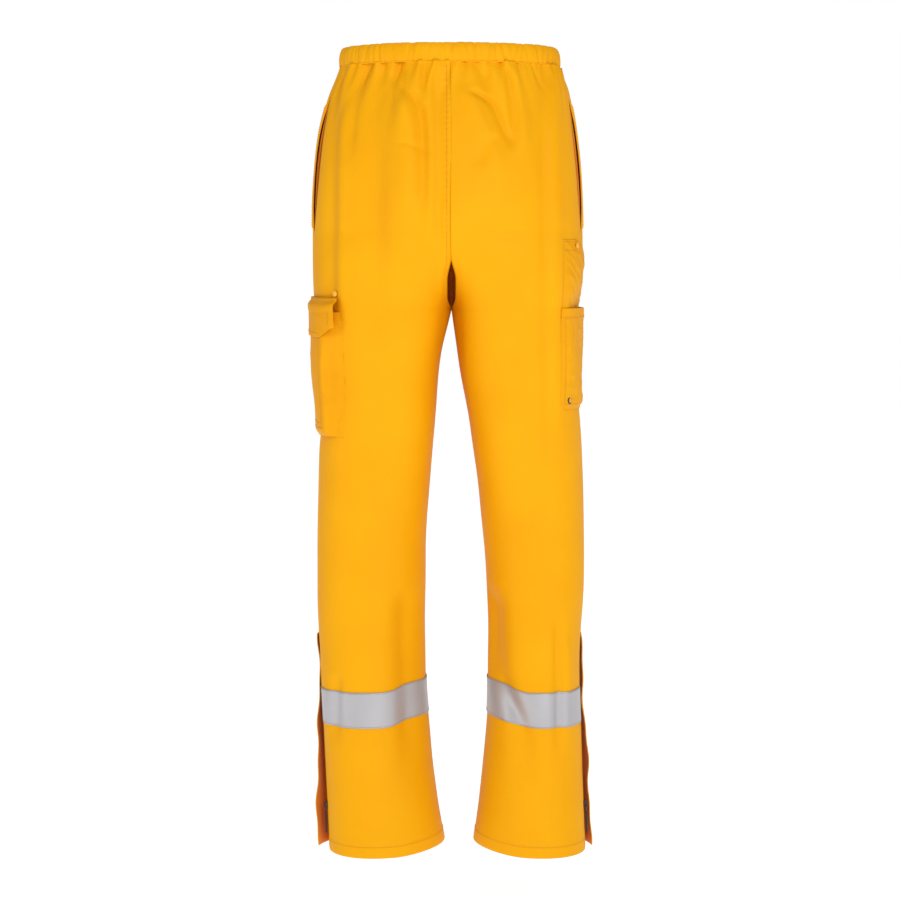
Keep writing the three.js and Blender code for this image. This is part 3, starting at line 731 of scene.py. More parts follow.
def round_the_body(turn, h, out):
    x, y = np.cos(turn), np.sin(turn)
    right = wall_mm("right", np.degrees(np.arctan2(-y, x)), h, out)
    left = wall_mm("left", np.degrees(np.arctan2(-y, -x)), h, out)
    return np.where((x > 0)[..., None], right, left)


def band_place(turn, tube):
    up = np.sign(np.sin(tube)) * np.abs(np.sin(tube)) ** BAND_SQUARE
    off = np.sign(np.cos(tube)) * np.abs(np.cos(tube)) ** BAND_SQUARE
    h = BAND_MIDDLE + (OUTSEAM - BAND_MIDDLE) * up
    bare = round_the_body(turn, h, 0 * h)
    along = round_waist(bare[..., 0], bare[..., 1])
    tucks = band_tucks(along, 14 * up) * (0.55 + 0.45 * np.abs(up))
    puff = 1.6 * (1 - up**2) + 0.5 * np.sin(along / 6.3) * np.sin(along / 17 + up)
    seam = -1.3 * np.exp(-((bare[..., 0] / 1.6) ** 2))
    out = -3.2 + 3.1 * off + np.maximum(off, 0) * (puff + tucks + seam)
    h = h + np.maximum(up, 0) * (0.25 * tucks - 0.5)
    return round_the_body(turn, h, out) * MM


deselect()
bpy.ops.mesh.primitive_torus_add(major_segments=256, minor_segments=24, major_radius=1,
                                 minor_radius=0.25)
bpy.ops.object.mode_set(mode="EDIT")
bpy.ops.mesh.subdivide(number_cuts=1)
bpy.ops.object.mode_set(mode="OBJECT")
waistband = bpy.context.object
waistband.name = waistband.data.name = "gathered_waistband"
ring = vertices(waistband)
tube = np.arctan2(ring[:, 2], np.hypot(ring[:, 0], ring[:, 1]) - 1)
placed = band_place(np.arctan2(ring[:, 1], ring[:, 0]), tube)
waistband.data.vertices.foreach_set("co", placed.ravel())
waistband.data.update()
waistband.data.materials.append(shell_cloth)
waistband.data.shade_smooth()
belongs(waistband, "trousers", "shell", "waistband_casing", "waist_elastic")
report(waistband)

# %% [markdown]
# ## Stitches
#
# A machine stitch shows as a short bead of thread that sinks at both ends. One bead is modelled as
# a stretched ball with few faces, and then copied along each seam, every 3.4 mm, turned to follow
# it. Each row is one mesh. A row is laid on a path of points with the direction off the cloth at
# each point.

# %% Stitch helper
deselect()
bpy.ops.mesh.primitive_uv_sphere_add(segments=6, ring_count=5, radius=1,
                                     rotation=(0, math.radians(90), 0))
bead = bpy.context.object
bpy.ops.object.transform_apply(location=False, rotation=True, scale=True)
BEAD_POINTS = vertices(bead) * (1.25 * MM, 0.42 * MM, 0.36 * MM)
BEAD_FACES = [tuple(face.vertices) for face in bead.data.polygons]
bpy.data.objects.remove(bead)


def repeated(name, points, one_has, faces, material):
    """One smooth mesh of many copies, whose points come copy after copy."""
    mesh = bpy.data.meshes.new(name)
    mesh.from_pydata(points.tolist(), [], [tuple(i + start for i in face)
                     for start in range(0, len(points), one_has) for face in faces])
    mesh.materials.append(material)
    mesh.shade_smooth()
    return into_scene(bpy.data.objects.new(name, mesh))


def stitches(name, body, points, off, pitch=3.4, thread=None):
    points, off = np.asarray(points), np.asarray(off)
    run = np.r_[0, np.cumsum(np.linalg.norm(np.diff(points, axis=0), axis=1))]
    at = np.arange(pitch / 2, run[-1] / MM, pitch) * MM
    middle = np.stack([np.interp(at, run, points[:, i]) for i in range(3)], 1)
    ahead = np.stack([np.interp(at + 0.5 * MM, run, points[:, i]) for i in range(3)], 1) - middle
    up = np.stack([np.interp(at, run, off[:, i]) for i in range(3)], 1)
    ahead /= np.linalg.norm(ahead, axis=1, keepdims=True) + 1e-12
    across = np.cross(up, ahead)
    across /= np.linalg.norm(across, axis=1, keepdims=True)
    up = np.cross(ahead, across)
    axes = np.stack([ahead, across, up], 1)
    beads = middle[:, None] + np.einsum("pj,sji->spi", BEAD_POINTS, axes)
    row = repeated(name, beads.reshape(-1, 3), len(BEAD_POINTS), BEAD_FACES, thread or spun_thread)
    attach(row, body)


def on_skin(side, angle, h, lift=0.2):
    low = skin(side, angle, h, lift)
    off = skin(side, angle, h, lift + 1) - low
    return low, off / np.linalg.norm(off, axis=-1, keepdims=True)


turns = np.linspace(0, 2 * np.pi, 900)
band_seam = band_place(turns, np.full(900, math.radians(-52)))
band_out = band_seam * (1, 1, 0)
band_out /= np.linalg.norm(band_out, axis=1, keepdims=True)
stitches("waistband_stitches", "trousers", band_seam, band_out)
print("one stitch has", len(BEAD_FACES), "faces")

# %% [markdown]
# ## Seat seam
#
# The seat seam is topstitched once on its left side, from the waistband down over the seat. Inside,
# heat-sealed tape is welded over the seam's stitch holes so that rain can't pass. The tape is a
# narrow sheet just inside the cloth on each side of the seam.

# %% Seat seam stitches and tape
TAPE_FOOT, TAPE_HEAD = 850, BAND_SEAM - 14
seam_h = np.linspace(812, BAND_SEAM - 3, 160)
middle = middle_angle("left", seam_h)
points, off = on_skin("left", middle - degrees("left", middle - 2, seam_h, 6.5), seam_h)
stitches("seat_topstitch", "trousers", points, off)


def seat_tape(side):
    def place(u, v):
        h = TAPE_FOOT + v * (TAPE_HEAD - TAPE_FOOT)
        middle = middle_angle(side, h)
        near = degrees(side, middle - 2, h, 1.0)
        return skin(side, middle - near * (11 - 10.2 * u), h, -1.4)

    return cloth(f"{side}_seam_sealing_tape", 8, 120, place, leg_core(side, 900), 0.25,
                 inner_knit_painted_shade, inner_knit_painted_shade)


for side in ("left", "right"):
    tape = report(seat_tape(side))
    belongs(tape, "trousers", "lining", f"{side}_seat_seam_tape")

# %% [markdown]
# ## Hand pockets
#
# Each side seam is left open for a hand's breadth and a flat bag hangs inside it. The bag is one
# sheet: it starts at the front lip of the slit, runs forward under the leg, turns back on itself
# and comes to the rear lip. Above and below the slit the two lips meet, and at the bottom the two
# layers are sewn together, so they close in on each other there.


# %% Hand pocket bags
BAG_LOW, BAG_HIGH, BAG_FRONT = 784, 1050, -41


def pocket_bag(side):
    forward = profile([(0, 0), (0.44, 1), (0.5, 1.03), (0.56, 1), (1, 0)])
    depth = profile([(0, 2.2), (0.06, 6), (0.4, 7), (0.5, 12), (0.6, 18), (0.94, 17), (1, 2.2)])

    def place(u, v):
        h = BAG_LOW + v * (BAG_HIGH - BAG_LOW)
        seam = seam_angle(h)
        gap = degrees(side, seam, h, seam_opening(h) - 0.4)
        lip = np.where(u < 0.5, seam - gap, seam + gap)
        angle = lip + (BAG_FRONT - lip) * forward(u)
        shut = smoothstep(h, BAG_LOW, BAG_LOW + 28) * smoothstep(-h, -BAG_HIGH, -BAG_HIGH + 20)
        sunk = 12 + (depth(u) - 12) * np.where((u > 0.03) & (u < 0.97), shut, 1)
        crumple = 0.9 * np.sin(angle / 5 + h / 29) * np.sin(h / 17 - angle / 9)
        return wall_mm(side, angle, h, -sunk - crumple * shut * np.sin(np.pi * u)) * MM

    centre = wall_mm(side, -14, 900, -12) * MM
    # Both faces of the bag take the painted-shade orange, which shows as the dark inside of the
    # open slit.
    return cloth(f"{side}_hand_pocket_bag_cloth", 72, 84, place, centre, 0.5,
                 inner_knit_painted_shade, inner_knit_painted_shade)


def pocket_welt(side):
    def place(u, v):
        h = SLIT_LOW - 5 + v * (SLIT_HIGH - SLIT_LOW + 10)
        edge = seam_angle(h) - degrees(side, 10, h, seam_opening(h))
        angle = edge - degrees(side, 8, h, 12.5 * (1 - u))
        return skin(side, angle, h, 0.35 + 1.1 * np.sqrt(np.clip(np.sin(np.pi * u), 0, 1)))

    return cloth(f"{side}_hand_pocket_welt_fold", 10, 90, place, leg_core(side, 960), 0.9)


for side in ("left", "right"):
    bag = report(pocket_bag(side))
    belongs(bag, "trousers", "lining", f"{side}_hand_pocket_bag")
    welt = report(pocket_welt(side))
    belongs(welt, "trousers", "shell", f"{side}_hand_pocket_welt")
    h = np.linspace(SLIT_LOW - 2, SLIT_HIGH + 2, 60)
    edge = seam_angle(h) - degrees(side, 10, h, seam_opening(h))
    points, off = on_skin(side, edge - degrees(side, 8, h, 9.5), h, 1.6)
    stitches(f"{side}_welt_stitches", "trousers", points, off)

# %% [markdown]
# ## Bellows pocket on the left thigh
#
# A bellows pocket stands off the leg on a folded gusset, so that it can swell when it is filled.
# One sheet makes the whole pocket: it leaves the leg at the front, folds in and out once as the
# gusset, crosses as the face, and folds back down to the leg behind. Its lower end closes in on
# the leg, and its mouth at the top is left open under the flap.

# %% Bellows pocket
CARGO_LOW, CARGO_MOUTH = 588, 762
across_angle = profile([(0, -38), (0.05, -35), (0.10, -30), (0.16, -26), (0.84, 48), (0.895, 54),
                        (0.95, 60), (1, 65)])


def ridges(a, b, seed):
    """Sharp little creases that cross each other, about one unit deep."""
    lift = np.zeros_like(a)
    for k in range(4):
        turn = seed + 1.9 * k
        wave = np.sin((a * np.cos(turn) + b * np.sin(turn)) / (7 + 3 * k)
                      + 1.7 * np.sin((a * np.sin(turn) - b * np.cos(turn)) / (13 + 4 * k) + seed))
        lift += (1 - 2 * np.abs(wave) ** 0.7) / (k + 1.6)
    return lift


def cargo_off(angle, h):
    up = np.clip((h - CARGO_LOW) / (CARGO_MOUTH - CARGO_LOW), 0, 1)
    return 8 + 8 * np.sin(np.pi * up) + 5 * smoothstep(angle, 15, 54)


def bellows(u, v):
    h = CARGO_LOW + 1 + v * (CARGO_MOUTH - CARGO_LOW - 1)
    angle = across_angle(u)
    gusset = np.maximum(smoothstep(-u, -0.11, 0), smoothstep(u, 0.885, 1))
    pleat = np.sin(np.pi * np.clip(gusset, 0, 1)) * (0.7 + 0.3 * np.sin(h / 13))
    angle = angle + pleat * np.where(u > 0.5, -3.4, 2.4)
    closing = smoothstep(h, CARGO_LOW - 1, CARGO_LOW + 11) ** 0.5
    off = 0.9 + (cargo_off(angle, h) - 0.9) * (1 - gusset) ** 0.8 * closing
    crease = ridges(angle * 3, h, 0.4) * (0.25 + 0.9 * (gusset > 0.02)) * closing
    drape = 1.3 * np.sin(h / 26 + 1) * np.sin(np.pi * u) + 0.9 * np.sin(angle / 7 + h / 31)
    return wall_mm("left", angle, h, off + (crease + drape * (1 - gusset)) * closing) * MM


bellows_pocket = report(cloth("bellows_pocket", 150, 110, bellows, leg_core("left", 670), 0.9,
                              inner_knit_painted_shade, pocket_cloth))
belongs(bellows_pocket, "trousers", "shell", "cargo_pocket_front", "cargo_pocket_gusset")


def pocket_line(name, u, v, shape=bellows, body="trousers"):
    u, v = np.broadcast_arrays(np.asarray(u, float), np.asarray(v, float))
    here = shape(u, v)
    sideways = shape(u + 0.004, v) - here
    upwards = shape(u, v + 0.004) - here
    off = np.cross(sideways, upwards)
    off /= np.linalg.norm(off, axis=1, keepdims=True)
    centre = here.mean(0) * (0.45, 0, 1)
    off *= np.sign(((here - centre) * off).sum(1))[:, None]
    stitches(name, body, here + 0.2 * MM * off, off)


line = np.linspace(0, 1, 90)
pocket_line("bellows_rear_edge_stitches", 0.862, 0.06 + 0.93 * line)
pocket_line("bellows_front_edge_stitches", 0.145, 0.06 + 0.93 * line)
pocket_line("bellows_foot_stitches", 0.16 + 0.70 * line, 0.075)
pocket_line("bellows_second_foot_stitches", 0.16 + 0.70 * line, 0.115)
pocket_line("bellows_mouth_stitches", 0.13 + 0.74 * line, 0.885)

# %% [markdown]
# ## Pocket flap
#
# The flap is two layers of cloth sewn to the leg above the pocket. It rounds the pocket's top and
# hangs in front of the mouth, with its rear lower corner cut off. On the real trousers it folds
# upwards on its seam; here its hem and rear stitches are attached to the flap's body and its seam
# stitches to the trousers.

# %% Pocket flap
FLAP_SEAM, FLAP_DROP, FLAP_FRONT, FLAP_CUT = 781, 52, -31, 13
FLAP_OVER = 2.2  # how far it stands off the pocket
flap_off = profile([(0, 0.3), (0.08, 0.42), (0.2, 0.9), (0.45, 1.0), (1, 1.0)])


def flap(u, v):
    down = 1 - v
    rear = back_angle("left", 153 - 4 * down, FLAP_SEAM - 50 * down)
    angle = FLAP_FRONT + (rear - FLAP_FRONT) * u
    corner = smoothstep(u, 0.88, 1.0)
    wavy = 1.6 * np.sin(angle / 13 + 0.6) * down
    h = FLAP_SEAM + 1.5 * np.sin(np.pi * u) - (FLAP_DROP - FLAP_CUT * corner) * down + wavy
    off = (cargo_off(angle, h) + FLAP_OVER) * flap_off(down)
    swell = 1.1 * np.sin(np.pi * down) * np.sin(angle / 11 + 2) + 0.35 * ridges(angle * 3, h, 2.0)
    return wall_mm("left", angle, h, 0.9 + off + swell * smoothstep(down, 0.03, 0.25)) * MM


pocket_flap = report(cloth("bellows_pocket_flap", 110, 50, flap, leg_core("left", 760), 1.3,
                           pocket_cloth, pocket_cloth))
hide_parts("cargo_flap")
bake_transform(pocket_flap)
for name, u, v in (("flap_hem_stitches", 0.03 + 0.86 * line, 0.10),
                   ("flap_rear_stitches", 0.965, 0.16 + 0.40 * line)):
    pocket_line(name, u, v, flap, "cargo_flap")
pocket_line("flap_seam_stitches", 0.02 + 0.96 * line, 0.975, flap)

# %% [markdown]
# ## Tool pocket on the right thigh
#
# This is a flat pocket in two layers. The upper layer is a tall patch whose top slants down towards
# the front, for reaching in, and the lower layer is a shorter patch over it, open at the top. Both
# are sewn down at their edges, so they lie close there and stand off a little in the middle, with
# the small creases of stiff coated cloth.

# %% Tool pocket layers
TOOL_LOW, TOOL_MOUTH, TOOL_TOP = 627, 767, 861
TOOL_FRONT, TOOL_REAR, TOOL_CORNER = -24, 148, 0.8
TOOL_FACE = 179.9  # how far the lower layer's middle stands from the middle of the body


def tool_angle(u, h):
    return TOOL_FRONT + (back_angle("right", TOOL_REAR, h) - TOOL_FRONT) * u


def sewn_down(u, v, reach):
    edge = np.minimum(np.minimum(u, 1 - u) / reach, 1) * np.minimum(v / (reach * 0.8), 1)
    return smoothstep(edge, 0, 1)


def tool_upper(u, v):
    slant = np.clip((TOOL_CORNER - u) / TOOL_CORNER, 0, 1)
    top = TOOL_TOP - (TOOL_TOP - TOOL_MOUTH - 14) * slant**1.15
    h = TOOL_LOW + 1 + (top - TOOL_LOW - 1) * v
    angle = tool_angle(u, h)
    free = sewn_down(u, v, 0.09)
    off = 0.9 + free * (1.6 + 0.8 * ridges(angle * 3, h, 5.0) + 1.1 * np.sin(h / 15 + angle / 9))
    return wall_mm("right", angle, h, off + relief("right", angle, h) * 0.6) * MM


def tool_lower(u, v):
    rounded = 9 * smoothstep(u, 0.93, 1) ** 2 * (1 - v)
    h = TOOL_LOW + (TOOL_MOUTH - TOOL_LOW) * v + rounded
    angle = tool_angle(u, h)
    free = sewn_down(u, v, 0.10)
    stand = np.maximum(TOOL_FACE - HALF_WIDTH["right"](h), 0) * np.sin(np.pi * u) ** 0.6
    crease = 0.7 * ridges(angle * 3, h, 7.3) + 0.9 * np.sin(h / 21 - angle / 8)
    off = 1.6 + free * (2.8 + stand + crease)
    return wall_mm("right", angle, h, off + relief("right", angle, h) * 0.6) * MM


def tool_band(u, v):
    under = tool_lower(u, 0.9 + 0.1 * v)
    h = TOOL_MOUTH - 14 + 14 * v
    angle = tool_angle(u, h)
    return under + (wall_mm("right", angle, h, 1.0) - wall_mm("right", angle, h)) * MM


for name, shape, columns, rows, node, flat in (
        ("tool_pocket_upper_layer", tool_upper, 90, 130, "tool_pocket_upper", (0.155, 0.232)),
        ("tool_pocket_lower_layer", tool_lower, 90, 90, "tool_pocket_lower", (0.165, 0.14)),
        ("tool_pocket_mouth_hem", tool_band, 90, 12, "tool_pocket_mouth_band", (0.165, 0.015))):
    layer = report(cloth(name, columns, rows, shape, leg_core("right", 740), 0.8,
                         inner_knit_painted_shade, pocket_cloth))
    belongs(layer, "trousers", "shell", node)

pocket_line("tool_pocket_rear_stitches", 0.985, 0.02 + 0.96 * line, tool_upper)
pocket_line("tool_pocket_slant_stitches", 0.02 + 0.95 * line, 0.985, tool_upper)
pocket_line("tool_pocket_inner_slant_stitches", 0.02 + 0.95 * line, 0.935, tool_upper)
pocket_line("tool_pocket_side_stitches", 0.955, 0.05 + 0.93 * line, tool_lower)
pocket_line("tool_pocket_foot_stitches", 0.04 + 0.915 * line, 0.055, tool_lower)
pocket_line("tool_pocket_hem_stitches", 0.02 + 0.95 * line, 0.12, tool_band)

# %% [markdown]
# ## Rivets and drain eyelet
#
# Rivets hold the corners that take the strain, and an eyelet lets water out of the tool pocket. A
# rivet's head starts as a disc whose top face is inset and raised, and is then bevelled to a soft
# dome. The eyelet starts as a thin ring and is bevelled all over. Each is modelled lying flat at
# the origin and then stood on the cloth.


# %% Rivets and eyelet
def stand_on(piece, side, angle, h, lift):
    here = wall_mm(side, angle, h, lift)
    off = Vector(wall_mm(side, angle, h, lift + 1) - here).normalized()
    piece.data.transform(Matrix.Translation(Vector(here * MM))
                         @ off.to_track_quat("Z", "Y").to_matrix().to_4x4())


def select_faces(piece, wanted):
    bpy.ops.object.mode_set(mode="OBJECT")
    for part in (*piece.data.vertices, *piece.data.edges, *piece.data.polygons):
        part.select = False
    for face in piece.data.polygons:
        face.select = bool(wanted(face))
    bpy.ops.object.mode_set(mode="EDIT")
    bpy.ops.mesh.select_mode(type="FACE")


def rivet(name, radius):
    deselect()
    bpy.ops.mesh.primitive_cylinder_add(vertices=32, radius=radius, depth=0.7 * MM)
    piece = bpy.context.object
    piece.name = piece.data.name = name
    select_faces(piece, lambda face: face.normal.z > 0.9)
    bpy.ops.mesh.inset(thickness=radius * 0.3, depth=0.5 * MM)
    bpy.ops.mesh.inset(thickness=radius * 0.35, depth=0.25 * MM)
    bpy.ops.object.mode_set(mode="OBJECT")
    apply_modifier(piece, "soft_edge", "BEVEL", width=0.18 * MM, segments=2)
    piece.data.materials.append(painted_brass)
    piece.data.shade_smooth()
    return piece


def drain_eyelet(name, outer, inner):
    deselect()
    bpy.ops.mesh.primitive_cylinder_add(vertices=40, radius=outer, depth=1.2 * MM,
                                        end_fill_type="NOTHING")
    piece = bpy.context.object
    piece.name = piece.data.name = name
    apply_modifier(piece, "ring_width", "SOLIDIFY", thickness=outer - inner, offset=-1)
    apply_modifier(piece, "rolled_edge", "BEVEL", width=0.5 * MM, segments=3)
    piece.data.materials.append(black_lacquer)
    piece.data.shade_smooth()
    return piece


flap_rivet = rivet("flap_corner_rivet", 4.0 * MM)
stand_on(flap_rivet, "left", back_angle("left", 158, 787), 787, 1.2)
tool_rivet = rivet("tool_pocket_corner_rivet", 4.4 * MM)
stand_on(tool_rivet, "right", tool_angle(TOOL_CORNER, 853), 853, 3.6)
eyelet = drain_eyelet("tool_pocket_drain_eyelet", 5.0 * MM, 2.5 * MM)
stand_on(eyelet, "right", tool_angle(0.9, 640), 640, 4.6)
for piece, node, slot in ((flap_rivet, "cargo_flap_rivet", "rivet"),
                          (tool_rivet, "tool_pocket_rivet", "rivet"),
                          (eyelet, "tool_pocket_eyelet", "eyelet")):
    belongs(report(piece), "trousers", slot, node)

# %% [markdown]
# ## Reflective tape
#
# A 50 mm band of glass-bead tape is sewn round each shin. It stops on each side of the ankle zip,
# which has to open. The band follows every fold of the cloth under it, a millimetre proud, and is
# sewn along both edges.

# %% Reflective tape
TAPE_LOW, TAPE_HIGH = 182, 232
BEHIND_ZIP, BEFORE_ZIP = 8.4, 39  # the band stops this far from the zip on each side


def round_leg(side, u, h, clear_back, clear_front):
    near = degrees(side, ZIP_ANGLE, h, 1.0)
    ahead = degrees(side, ZIP_ANGLE - 15, h, 1.0)
    start = ZIP_ANGLE + near * clear_back
    return start + (ZIP_ANGLE + 360 - ahead * clear_front - start) * u


for side in ("left", "right"):
    def tape_place(u, v):
        h = TAPE_LOW + (TAPE_HIGH - TAPE_LOW) * v
        return skin(side, round_leg(side, u, h, BEHIND_ZIP, BEFORE_ZIP), h, 1.25)

    band = report(cloth(f"{side}_reflective_band", 190, 22, tape_place, leg_core(side, 207), 0.5,
                        bead_tape, bead_tape))
    belongs(band, f"{side}_lower_leg", "reflective", f"{side}_reflective_tape")
    for edge, h in (("lower", TAPE_LOW + 2), ("upper", TAPE_HIGH - 2)):
        angle = round_leg(side, np.linspace(0.003, 0.997, 300), h, BEHIND_ZIP, BEFORE_ZIP)
        points, off = on_skin(side, angle, h, 1.35)
        stitches(f"{side}_tape_{edge}_stitches", f"{side}_lower_leg", points, off,
                 thread=grey_thread)

# %% [markdown]
# ## Hem
#
# The leg's lower edge is turned up inside and stitched 15 mm above the fold. The turned-up part is
# its own sheet, just inside the leg, and the stitches show as a dotted line outside.

# %% Hem
for side in ("left", "right"):
    def hem_place(u, v):
        h = 0.5 + 16.5 * v
        return skin(side, round_leg(side, u, h, 6.2, 6.2), h, -1.5)

    hem = report(cloth(f"{side}_turned_up_hem", 150, 8, hem_place, leg_core(side, 10), 0.6,
                       shell_cloth, inner_knit_painted_shade))
    belongs(hem, f"{side}_lower_leg", "shell", f"{side}_hem_facing")
    angle = round_leg(side, np.linspace(0.002, 0.998, 300), 15.2, 6.5, 6.5)
    points, off = on_skin(side, angle, 15.2, 0.1)
    stitches(f"{side}_hem_stitches", f"{side}_lower_leg", points, off)

# %% [markdown]
# ## Storm flap
#
# A double strip of cloth, sewn in front of the zip, stands over it to keep rain out. It is left
# loose, so its free edge stands off the leg and waves a little. It turns about its seam.

# %% Storm flap
SPLAY = {"left": (17, 3), "right": (9, 3)}  # how far the free edge splays at the hem and the top
FLAP_FOOT, FLAP_HEAD, FLAP_WIDE = 2.0, 304.0, 33


def storm_flap(side):
    seam = [wall_mm(side, ZIP_ANGLE - degrees(side, ZIP_ANGLE - 15, h, BEFORE_ZIP), h, 1.0)
            for h in (FLAP_FOOT, FLAP_HEAD)]

    def place(u, v):
        at = seam[0] + (seam[1] - seam[0]) * v[:, None]
        free = SPLAY[side][0] + (SPLAY[side][1] - SPLAY[side][0]) * v
        wave = 1.5 * np.sin(v * 15 + SIGN[side]) * u**1.5 + 0.8 * np.sin(v * 33 + 1) * u**2
        roll = 1.5 * np.sin(np.pi * u) + 1.6 * (1 - np.cos(np.pi * u / 2)) * np.sin(v * 6)
        at[:, 0] += SIGN[side] * (free * u + roll + wave + 1.4)
        at[:, 1] -= (FLAP_WIDE + 0.7 * np.sin(v * 21)) * u
        return at * MM

    return place


for side in ("left", "right"):
    place = storm_flap(side)
    # Its inner face takes the painted-shade orange, seen in the gap between the flap and the leg.
    strip = report(cloth(f"{side}_storm_flap_strip", 26, 170, place, leg_core(side, 150), 1.2,
                         inner_knit_painted_shade, shell_cloth))
    belongs(strip, f"{side}_storm_flap", "shell", f"{side}_storm_flap")
    for edge, u in (("seam", 0.10), ("free_edge", 0.90)):
        line = np.linspace(0.01, 0.99, 200)
        at = place(np.full(200, u), line)
        sideways = place(np.full(200, u + 0.01), line) - at
        upwards = place(np.full(200, u), line + 0.01) - at
        off = np.cross(sideways, upwards)
        off *= SIGN[side] * np.sign(off[:, :1]) / np.linalg.norm(off, axis=1, keepdims=True)
        stitches(f"{side}_storm_flap_{edge}_stitches", f"{side}_storm_flap",
                 at + 0.2 * MM * off, off)

# %% [markdown]
# ## Ankle zip
#
# A zip is two woven tapes, each with a coil of nylon sewn to its edge, and a slider that meshes
# them. It is straight, so it is built in a frame of its own: across the tape, up the zip, and off
# the leg. One loop of coil is modelled and copied every 2.4 mm. The loops are tall ovals that
# overlap a little, as a coil seen from outside does.


# %% Zip tapes and coils
ZIP_FOOT, ZIP_HEAD, COIL_PITCH, SLIDER_AT = 4, 268, 2.4, 62


def zip_frame(side):
    foot, head = (wall_mm(side, ZIP_ANGLE, h) for h in (0.0, float(ZIP_HEAD)))
    up = (head - foot) / np.linalg.norm(head - foot)
    along = np.cross(up, wall_mm(side, ZIP_ANGLE, 0.0, 1.0) - foot)
    along /= np.linalg.norm(along)
    return np.stack([along, up, np.cross(along, up)]), foot


def in_zip_frame(side, points_mm):
    axes, foot = zip_frame(side)
    return (points_mm @ axes + foot) * MM


deselect()
bpy.ops.mesh.primitive_uv_sphere_add(segments=8, ring_count=6, radius=1)
loop = bpy.context.object
LOOP_POINTS = vertices(loop) * (1.25, 0.95, 2.3)
LOOP_FACES = [tuple(face.vertices) for face in loop.data.polygons]
bpy.data.objects.remove(loop)


def coil(side, row, sign):
    places = np.arange(ZIP_FOOT + 1.5, ZIP_HEAD - 2, COIL_PITCH)
    middle = np.stack([np.full(places.shape, -SIGN[side] * sign * 2.0), places,
                       np.full(places.shape, -3.6)], 1)
    points = in_zip_frame(side, (middle[:, None] + LOOP_POINTS).reshape(-1, 3))
    piece = repeated(f"{side}_zip_coil_{row}", points, len(LOOP_POINTS), LOOP_FACES, coil_nylon)
    if np.linalg.det(zip_frame(side)[0]) < 0:
        piece.data.flip_normals()
    return piece


for side in ("left", "right"):
    for row, sign in (("back", 1), ("front", -1)):
        def tape_in_leg(u, v):
            across = -SIGN[side] * sign * (0.8 + 10.2 * u)
            up = ZIP_FOOT + (ZIP_HEAD - ZIP_FOOT) * v
            return in_zip_frame(side, np.stack([across, up, -6.4 + 0 * u], 1))

        woven = cloth(f"{side}_zip_woven_tape_{row}", 6, 130, tape_in_leg,
                      leg_core(side, 130), 0.7, zip_twill, zip_twill)
        teeth = coil(side, row, sign)
        for piece, part in ((woven, "zip_tape"), (teeth, "zip_teeth")):
            belongs(report(piece), f"{side}_lower_leg", part, f"{side}_{part}_{row}")

# %% [markdown]
# ## Slider and pull
#
# The slider is a die casting: a plate over the coils and one under the tape, joined by a thin
# wedge, with a bridge on top for the pull. The plates are boxes that are narrowed towards the
# lower end in edit mode and bevelled. The pull is a wire loop and a long moulded tongue with a
# raised grip, which is widened, inset and pushed up from a plain bar.


# %% Slider and pull
def casting(name, size, centre, bevel, material):
    deselect()
    bpy.ops.mesh.primitive_cube_add(size=1)
    part = bpy.context.object
    part.name = name
    part.data.transform(Matrix.Translation(centre) @ Matrix.Diagonal((*size, 1)))
    part.data.materials.append(material)
    if bevel:
        apply_modifier(part, "cast_edge", "BEVEL", width=bevel, segments=2)
    return part


def narrowed(part, share):
    low = min(corner.co.y for corner in part.data.vertices)
    for corner in part.data.vertices:
        if corner.co.y < low + 1.5:
            corner.co.x *= share
    return part


def joined(name, parts):
    deselect()
    for part in parts:
        part.select_set(True)
    bpy.context.view_layer.objects.active = parts[0]
    bpy.ops.object.join()
    parts[0].name = parts[0].data.name = name
    return parts[0]


def placed_on_zip(side, piece):
    axes, foot = zip_frame(side)
    turned = Matrix([[*axes[:, i], 0] for i in range(3)] + [[0, 0, 0, 1]])
    shift = Matrix.Translation(Vector(foot)) @ turned @ Matrix.Translation((0, SLIDER_AT, 0))
    piece.data.transform(Matrix.Diagonal((MM, MM, MM, 1)) @ shift)
    if axes[0] @ np.cross(axes[1], axes[2]) < 0:
        piece.data.flip_normals()
    piece.data.shade_smooth()


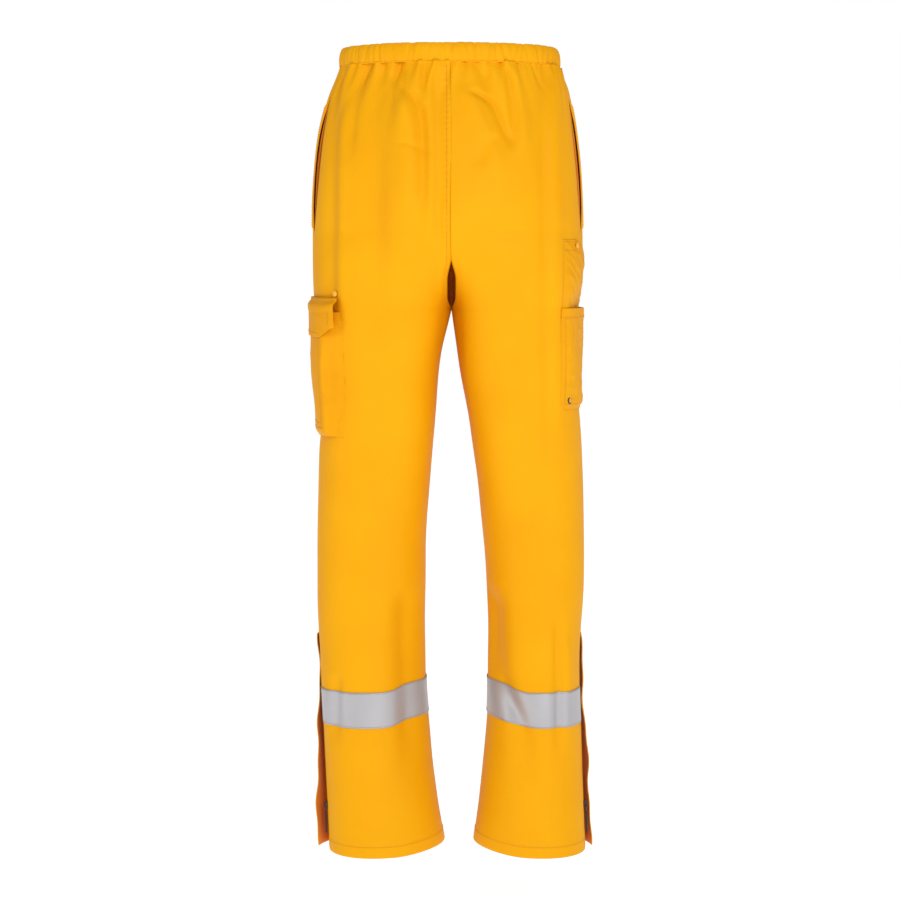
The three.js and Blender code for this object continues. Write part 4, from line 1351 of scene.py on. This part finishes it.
for side in ("left", "right"):
    body = joined(f"{side}_zip_slider_casting", [
        narrowed(casting("top_plate", (9, 13, 1.9), (0, 0, 1.15), 0.5, black_lacquer), 0.72),
        narrowed(casting("under_plate", (9, 13, 1.5), (0, 0, -8.8), 0.4, black_lacquer), 0.72),
        casting("wedge", (0.7, 8.5, 8.6), (0, 0.6, -3.9), 0, black_lacquer),
        casting("bridge_foot_low", (2.2, 1, 2.0), (0, -3.5, 2.9), 0.15, black_lacquer),
        casting("bridge_foot_high", (2.2, 1, 2.0), (0, 3.5, 2.9), 0.15, black_lacquer),
        casting("bridge_bar", (2.2, 8, 1), (0, 0, 4.3), 0.35, black_lacquer)])
    placed_on_zip(side, body)
    tongue = casting("tongue", (5.4, 30, 1.6), (0, -24.5, 3.2), 0, satin_plastic)
    bpy.context.view_layer.objects.active = tongue
    select_faces(tongue, lambda face: face.normal.z > 0.9)
    bpy.ops.mesh.inset(thickness=1.0, depth=0)
    bpy.ops.mesh.inset(thickness=0.3, depth=0.5)
    bpy.ops.object.mode_set(mode="OBJECT")
    apply_modifier(tongue, "moulded_edge", "BEVEL", width=0.35, segments=2)
    pull = joined(f"{side}_zip_pull_tongue", [
        tongue,
        casting("loop_top", (7.4, 1, 1), (0, 0, 2.95), 0.3, black_lacquer),
        casting("loop_left", (1.1, 8, 1), (-3.15, -3.5, 2.95), 0.3, black_lacquer),
        casting("loop_right", (1.1, 8, 1), (3.15, -3.5, 2.95), 0.3, black_lacquer),
        casting("loop_foot", (7.4, 2.4, 1.4), (0, -8.4, 3.0), 0.4, satin_plastic)])
    placed_on_zip(side, pull)
    for piece, part in ((body, "zip_slider"), (pull, "zip_pull")):
        belongs(report(piece), f"{side}_{part}", part, f"{side}_{part}")

# %% [markdown]
# ## Floor
#
# The floor is one plain pale sheet below the hems, wide enough to reach the edge of every view.

# %% Floor
deselect()
bpy.ops.mesh.primitive_plane_add(size=24, location=(0, 0, -1.24))
floor = bpy.context.object
floor.name = "pale_floor"
floor_paint, _, shader = new_material("pale_studio_floor", Roughness=0.9,
                                         Specular_IOR_Level=0.1, Emission_Strength=0.6)
shader.inputs["Base Color"].default_value = (0.87, 0.87, 0.87, 1)
shader.inputs["Emission Color"].default_value = (1, 1, 1, 1)
floor.data.materials.append(floor_paint)

# %% [markdown]
# ## Finish
#

# %% Sizes and finish
print("script finished")
